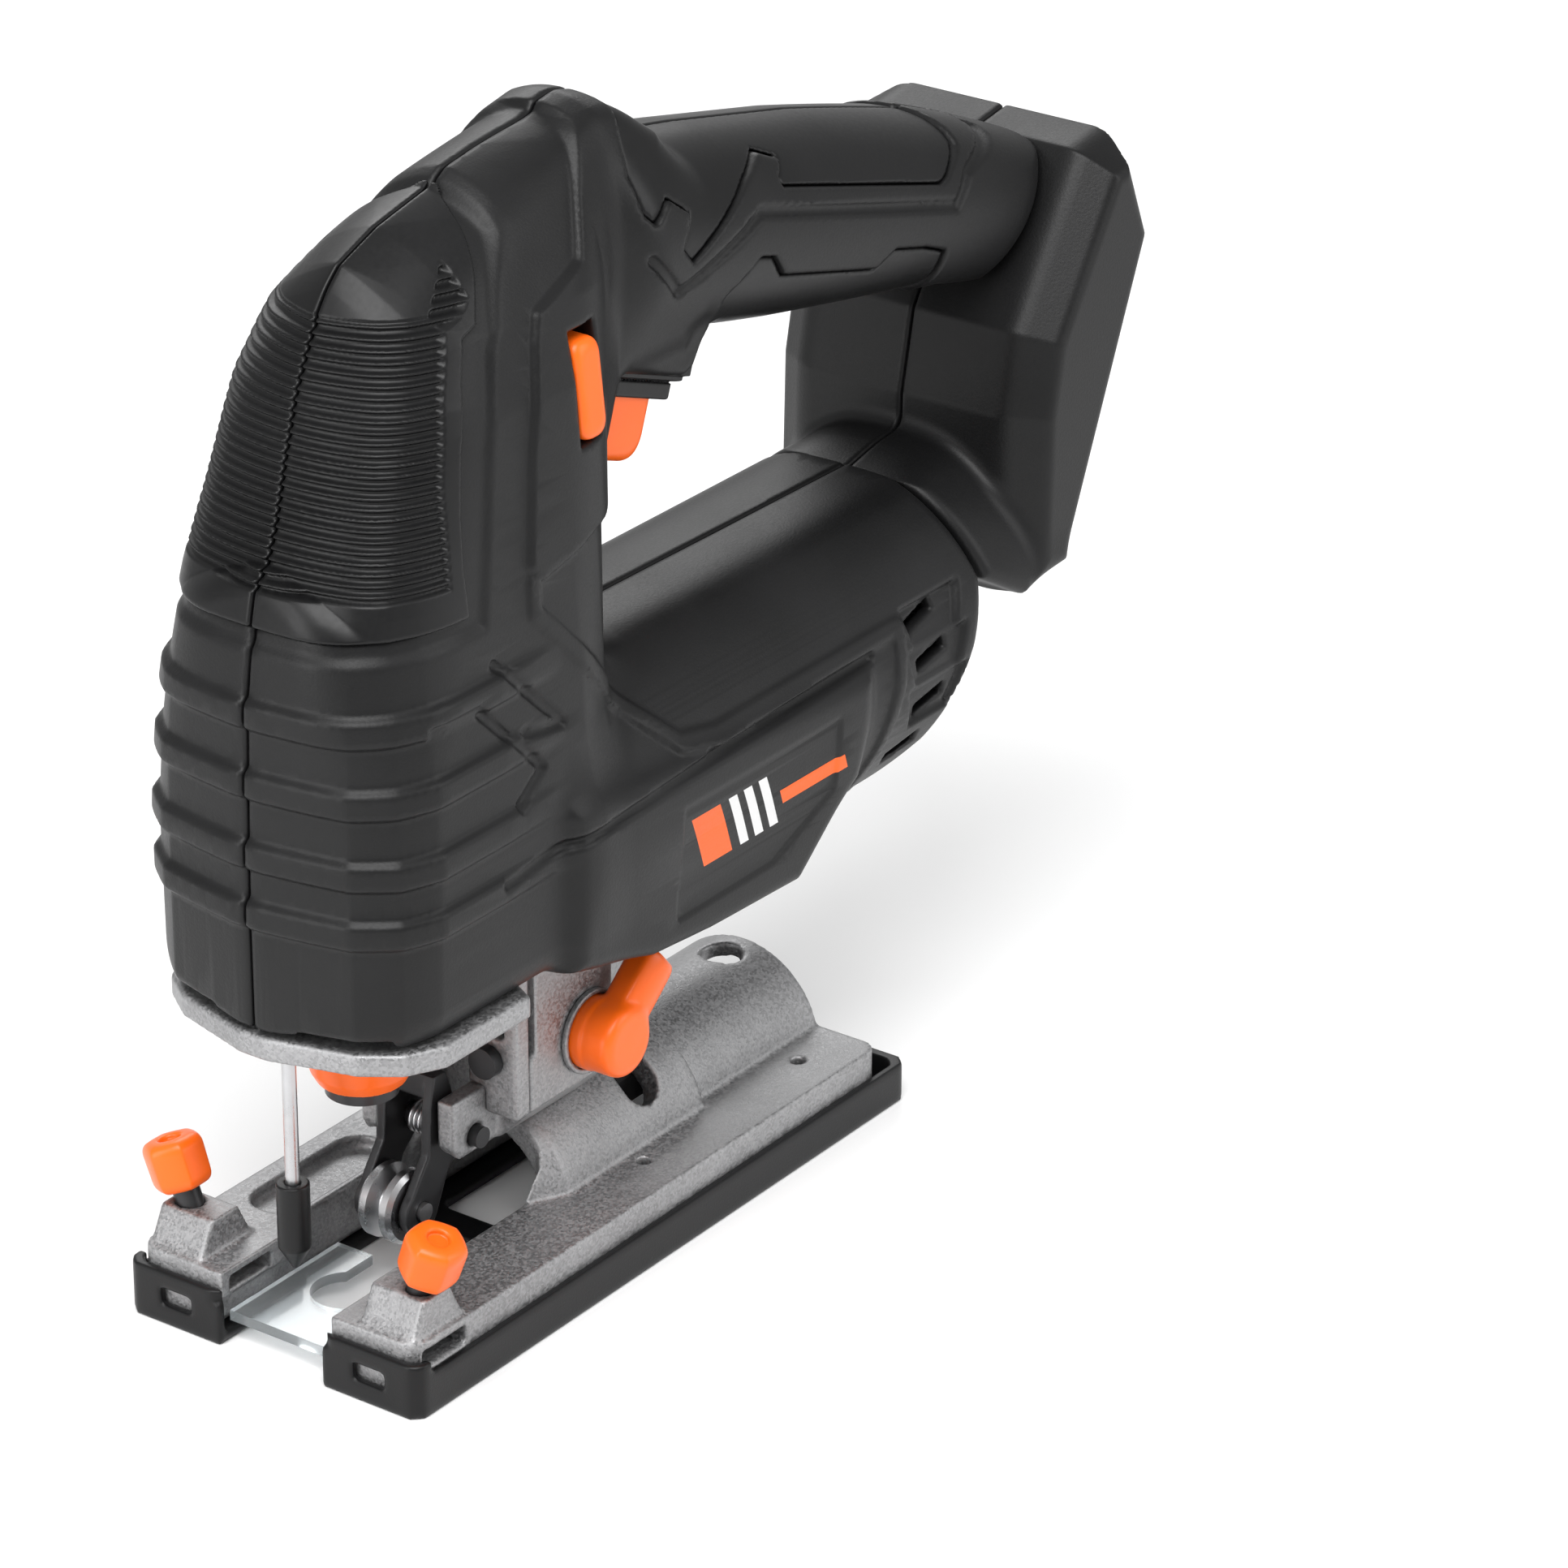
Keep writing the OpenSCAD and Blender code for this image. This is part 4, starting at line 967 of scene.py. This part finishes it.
def hand_skin(x: Field, y: Field, z: Field) -> Field:
    """The soft skin round the handle."""
    c = case(x, y, z)
    zone = np.minimum(HAND_GRIP(x, z), HAND_GRIP_LOW(x, z))
    relief = 0.45 - 0.9 * inside(HAND_CHANNEL(x, z) - 0.9, 0.9)
    relief = relief - 0.8 * inside(INSET_PANEL(x, z), 1.0)
    d = c - relief.astype(np.float32)
    d = smax(d, -(c + GRIP_T - 0.05), 0.3)
    d = smax(d, zone + 0.1, 0.8)
    d = smax(d, -trigger_mouth(x, y, z), 0.5)
    d = smax(d, 0.1 - DOCK_ZONE(x, z), 0.5)
    return smax(d, y + SEAM, 0.7)


def dock_half(x: Field, y: Field, z: Field) -> Field:
    """One half of the battery dock's shell."""
    c = dock(x, y, z)
    d = smax(c, -(c + 2.6), 0.2)
    d = smax(d, DOCK_ZONE(x, z), 0.6)
    bay = block(x, y, z, (122, -24, 60), (170, 24, 118))
    return smax(smax(d, -bay, 1.0), y + SEAM, 0.9)


@dataclass
class Moulding:
    """A pair of moulded halves made from one form.

    low, high and pitch are the box and the cell size of the mesh in mm.
    """

    form: Form
    names: tuple[str, str]
    low: tuple[float, float, float]
    high: tuple[float, float, float]
    pitch: float
    finish: Finish
    limit: int = 190000

    def build(self) -> list[bpy.types.Object]:
        """Meshes the low Y half and mirrors it.

        Returns:
            The two halves.
        """
        points, quads = surface(self.form, self.low, self.high, self.pitch)
        left = new_object(self.names[0], points * MM, quads)
        bmesh_fix(left)
        thin_out(left, self.limit)
        return [left, mirrored(left, self.names[1])]

    def dress(self, halves: list[bpy.types.Object]) -> None:
        """Places the halves for the CAD nodes of the same names."""
        for name, obj in zip(self.names, halves):
            Piece("skin_" + name, "tool", self.finish, (name,)).place(obj)


@dataclass(frozen=True)
class Shaped:
    """A single piece made from a form, in the place of a CAD node; pitch is in mm."""

    form: Form
    node: str
    body: str
    finish: Finish
    pitch: float = 0.35
    limit: int = 120000

    def build(self) -> None:
        """Meshes the form in a box round its CAD node and places the piece."""
        low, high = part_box(self.node)
        points, quads = surface(self.form, [v / MM - MARGIN for v in low],
                                [v / MM + MARGIN for v in high], self.pitch)
        obj = new_object(self.node, points * MM, quads)
        bmesh_fix(obj)
        thin_out(obj, self.limit)
        Piece("moulded_" + self.node, self.body, self.finish, (self.node,)).place(obj)


SHAPES = (
    Shaped(trigger, "trigger", "trigger", Finish.ORANGE),
    Shaped(boot, "trigger_boot", "tool", Finish.GRIP, 0.3),
    Shaped(lock, "lock_button", "lock_button", Finish.ORANGE),
    Shaped(orbit_lever, "orbit_knob", "orbit_knob", Finish.ORANGE),
    Shaped(fence_knob(-1), "fence_knob_left", "fence_knob_left", Finish.ORANGE, 0.3),
    Shaped(fence_knob(1), "fence_knob_right", "fence_knob_right", Finish.ORANGE, 0.3),
)

MOULDINGS = (
    Moulding(shell, ("housing_left", "housing_right"), (-79, -34, 53), (141, 0, 215), 0.75, Finish.CASE),
    Moulding(nose_skin, ("front_grip_left", "front_grip_right"), (-75, -30, 140), (-21, 0, 207), 0.33,
             Finish.GRIP),
    Moulding(hand_skin, ("handle_grip_left", "handle_grip_right"), (12, -21, 140), (121, 0, 214), 0.55,
             Finish.GRIP),
    Moulding(dock_half, ("dock_left", "dock_right"), (99, -33, 84), (160, 0, 171), 0.55, Finish.CASE),
)


# ---------------------------------------------------------------- metal and small parts


@dataclass(frozen=True)
class Casting:
    """A CAD node shown with rounded edges; pitch is in metres."""

    node: str
    body: str
    finish: Finish
    pitch: float = 0.0005
    rounds: int = 2
    limit: int = 150000

    def build(self) -> None:
        """Makes the piece and places it."""
        obj = cast_copy(self.node, self.pitch, self.rounds, self.limit)
        Piece("cast_" + self.node, self.body, self.finish, (self.node,)).place(obj)


CASTINGS = (
    Casting("shoe", "base", Finish.ALLOY, 0.00055, 2, 190000),
    Casting("sole_cover", "base", Finish.SOLE, 0.0006, 1, 190000),
    Casting("gear_head", "tool", Finish.ALLOY, 0.0006, 2, 190000),
    Casting("gear_head_front", "tool", Finish.ALLOY, 0.00045, 2, 120000),
    Casting("orbit_ring", "tool", Finish.ALLOY, 0.00025, 2, 60000),
    Casting("clamp_collar", "clamp_collar", Finish.ORANGE, 0.0003, 3, 90000),
    Casting("guard_tip", "tool", Finish.GRIP, 0.00025, 2, 60000),
    Casting("roller_yoke", "yoke", Finish.BLACK_STEEL, 0.0003, 2, 90000),
)


@dataclass(frozen=True)
class Camera:
    """The photographer's camera, from a fit of the tool's known points."""

    place: tuple[float, float, float] = (-0.79833, -0.63201, 0.56955)
    azimuth: float = -54.25
    elevation: float = 25.48
    roll: float = 0.19
    lens: float = 145.0

    def build(self) -> bpy.types.Object:
        """Adds the camera and makes it the scene's.

        Returns:
            The camera.
        """
        az, el, roll = (math.radians(v) for v in (self.azimuth, self.elevation, self.roll))
        back = Vector((math.sin(az) * math.cos(el), -math.cos(az) * math.cos(el), math.sin(el)))
        right = Vector((0, 0, 1)).cross(back).normalized()
        up = back.cross(right)
        c, s = math.cos(roll), math.sin(roll)
        right, up = right * c + up * s, up * c - right * s
        data = bpy.data.cameras.new("camera")
        data.lens, data.sensor_width, data.clip_start = self.lens, SENSOR_WIDTH, 0.01
        obj = link("camera", data)
        turn = Matrix((right, up, back)).transposed().to_4x4()
        obj.matrix_world = Matrix.Translation(self.place) @ turn
        bpy.context.scene.camera = obj
        return obj


@dataclass(frozen=True)
class Lamp:
    """A soft rectangular lamp that points at the tool; power is in watts."""

    name: str
    place: tuple[float, float, float]
    size: tuple[float, float]
    power: float
    aim: tuple[float, float, float] = (0.03, 0.0, 0.1)

    def build(self) -> bpy.types.Object:
        """Adds the lamp.

        Returns:
            The lamp.
        """
        data = bpy.data.lights.new(self.name, "AREA")
        data.shape, data.energy = "RECTANGLE", self.power
        data.size, data.size_y = self.size
        obj = link(self.name, data)
        way = Vector(self.aim) - Vector(self.place)
        turn = way.to_track_quat("-Z", "Y").to_matrix().to_4x4()
        obj.matrix_world = Matrix.Translation(self.place) @ turn
        return obj


def finish_kept_nodes() -> None:
    """Gives every CAD node that stays its procedural finish."""
    finishes = {finish.slot: finish for finish in Finish}
    taken = {name for moulding in MOULDINGS for name in moulding.names}
    taken |= {piece.node for piece in (*SHAPES, *CASTINGS, *springs())}
    for entry in frame["record"]["subparts"]:
        node = entry["node"]
        if node in taken:
            continue
        mesh = frame["nodes"][node].data
        mesh.materials.clear()
        mesh.materials.append(finishes[entry["material_slot"]].material)
        log.info("%s: kept, finish %s", node, entry["material_slot"])


LAMPS = (
    Lamp("key", (-0.5, -0.3, 1.1), (0.8, 0.8), 15.0),
    Lamp("left", (-1.2, 0.3, 0.5), (0.5, 0.9), 7.0),
    Lamp("right", (0.5, -1.0, 0.6), (0.6, 0.9), 4.5),
    Lamp("rim", (0.8, 0.8, 0.8), (0.8, 0.5), 5.0),
)


POINTS_A_TURN = 28
POINTS_ROUND_WIRE = 12


@dataclass(frozen=True)
class Spring:
    """A coil spring, wound by a node group.

    start and axis place it. radius is to the middle of the wire, wire is the wire's own radius,
    and both are in metres, as length is.
    """

    node: str
    body: str
    start: tuple[float, float, float]
    axis: tuple[float, float, float]
    radius: float
    length: float
    turns: float
    wire: float

    def group(self) -> bpy.types.GeometryNodeTree:
        """Builds the node group: a helix swept by a circle.

        Returns:
            The group, with an input for each size.
        """
        tree = bpy.data.node_groups.new("coil_" + self.node, "GeometryNodeTree")
        tree.interface.new_socket("Geometry", in_out="OUTPUT", socket_type="NodeSocketGeometry")
        for name in ("Turns", "Radius", "Length", "Wire"):
            tree.interface.new_socket(name, in_out="INPUT", socket_type="NodeSocketFloat")
        source, result = tree.nodes.new("NodeGroupInput"), tree.nodes.new("NodeGroupOutput")
        made = {kind: tree.nodes.new(kind) for kind in (
            "GeometryNodeCurveSpiral", "GeometryNodeCurvePrimitiveCircle", "GeometryNodeCurveToMesh",
            "GeometryNodeRealizeInstances", "GeometryNodeSetMaterial")}
        spiral, circle, sweep, real, paint = made.values()
        spiral.inputs["Resolution"].default_value = POINTS_A_TURN
        circle.inputs["Resolution"].default_value = POINTS_ROUND_WIRE
        sweep.inputs["Fill Caps"].default_value = True
        paint.inputs["Material"].default_value = Finish.STEEL.material
        links = ((source.outputs["Turns"], spiral.inputs["Rotations"]),
                 (source.outputs["Radius"], spiral.inputs["Start Radius"]),
                 (source.outputs["Radius"], spiral.inputs["End Radius"]),
                 (source.outputs["Length"], spiral.inputs["Height"]),
                 (source.outputs["Wire"], circle.inputs["Radius"]),
                 (spiral.outputs[0], sweep.inputs["Curve"]),
                 (circle.outputs[0], sweep.inputs["Profile Curve"]),
                 (sweep.outputs[0], real.inputs[0]),
                 (real.outputs[0], paint.inputs["Geometry"]),
                 (paint.outputs[0], result.inputs[0]))
        for a, b in links:
            tree.links.new(a, b)
        return tree

    def build(self) -> None:
        """Winds the spring and places it for its CAD node."""
        obj = link(self.node, bpy.data.meshes.new(self.node))
        tree = self.group()
        made = modifier(obj, "NODES", node_group=tree)
        values = {"Turns": self.turns, "Radius": self.radius, "Length": self.length,
                  "Wire": self.wire}
        for item in tree.interface.items_tree:
            if item.in_out == "INPUT":
                made[item.identifier] = values[item.name]
        bake(obj)
        way = Vector(self.axis).to_track_quat("Z", "Y").to_matrix().to_4x4()
        obj.data.transform(Matrix.Translation(self.start) @ way)
        bmesh_fix(obj)
        Piece("coil_" + self.node, self.body, Finish.STEEL, (self.node,)).place(obj)


def springs() -> tuple[Spring, ...]:
    """The two springs, sized from their CAD sleeves.

    Returns:
        The yoke's spring, which lies along Y, and the blade collar's, which stands.
    """
    wire, end = 0.0005, 0.0006
    low, high = (Vector(corner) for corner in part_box("yoke_spring"))
    middle = (low + high) / 2
    yoke = Spring("yoke_spring", "tool", (middle.x, low.y + end, middle.z), (0, 1, 0),
                  (high.x - low.x) / 2 - wire, high.y - low.y - 2 * end, 5.5, wire)
    wire, gap = 0.0006, 0.0001
    low, high = (Vector(corner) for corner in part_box("clamp_spring"))
    collar = Spring("clamp_spring", "plunger", ((low.x + high.x) / 2, 0.0, low.z + end), (0, 0, 1),
                    (high.x - low.x) / 2 - wire - gap, high.z - low.z - 2 * end, 4.0, wire)
    return yoke, collar


def floor() -> None:
    """A plain pale floor and a bright surround."""
    s = Shader("floor")
    s.put("Base Color", s.noise(2.0).mix((0.9, 0.9, 0.9), (0.93, 0.93, 0.93)))
    s.put("Roughness", 0.6)
    mesh = bpy.data.meshes.new("floor")
    r, z = 8.0, -0.0002
    mesh.from_pydata([(-r, -r, z), (r, -r, z), (r, r, z), (-r, r, z)], [], [(0, 1, 2, 3)])
    mesh.materials.append(s.material)
    link("floor", mesh)
    world = bpy.context.scene.world or bpy.data.worlds.new("surround")
    bpy.context.scene.world = world
    world.use_nodes = True
    background = world.node_tree.nodes["Background"]
    background.inputs["Color"].default_value = (1, 1, 1, 1)
    seen = world.node_tree.nodes.new("ShaderNodeLightPath")
    level = world.node_tree.nodes.new("ShaderNodeMapRange")
    level.inputs["To Min"].default_value = 0.45
    level.inputs["To Max"].default_value = 1.0
    world.node_tree.links.new(seen.outputs["Is Camera Ray"], level.inputs["Value"])
    world.node_tree.links.new(level.outputs["Result"], background.inputs["Strength"])
    bpy.context.scene.view_settings.view_transform = "Standard"


def main() -> None:
    """Builds every piece, then the stage."""
    logging.basicConfig(level=logging.INFO, format="%(message)s")
    for moulding in MOULDINGS:
        moulding.dress(moulding.build())
    for piece in SHAPES + CASTINGS:
        piece.build()
    for spring in springs():
        spring.build()
    finish_kept_nodes()
    Camera().build()
    for lamp in LAMPS:
        lamp.build()
    floor()


if __name__ == "__main__":
    main()
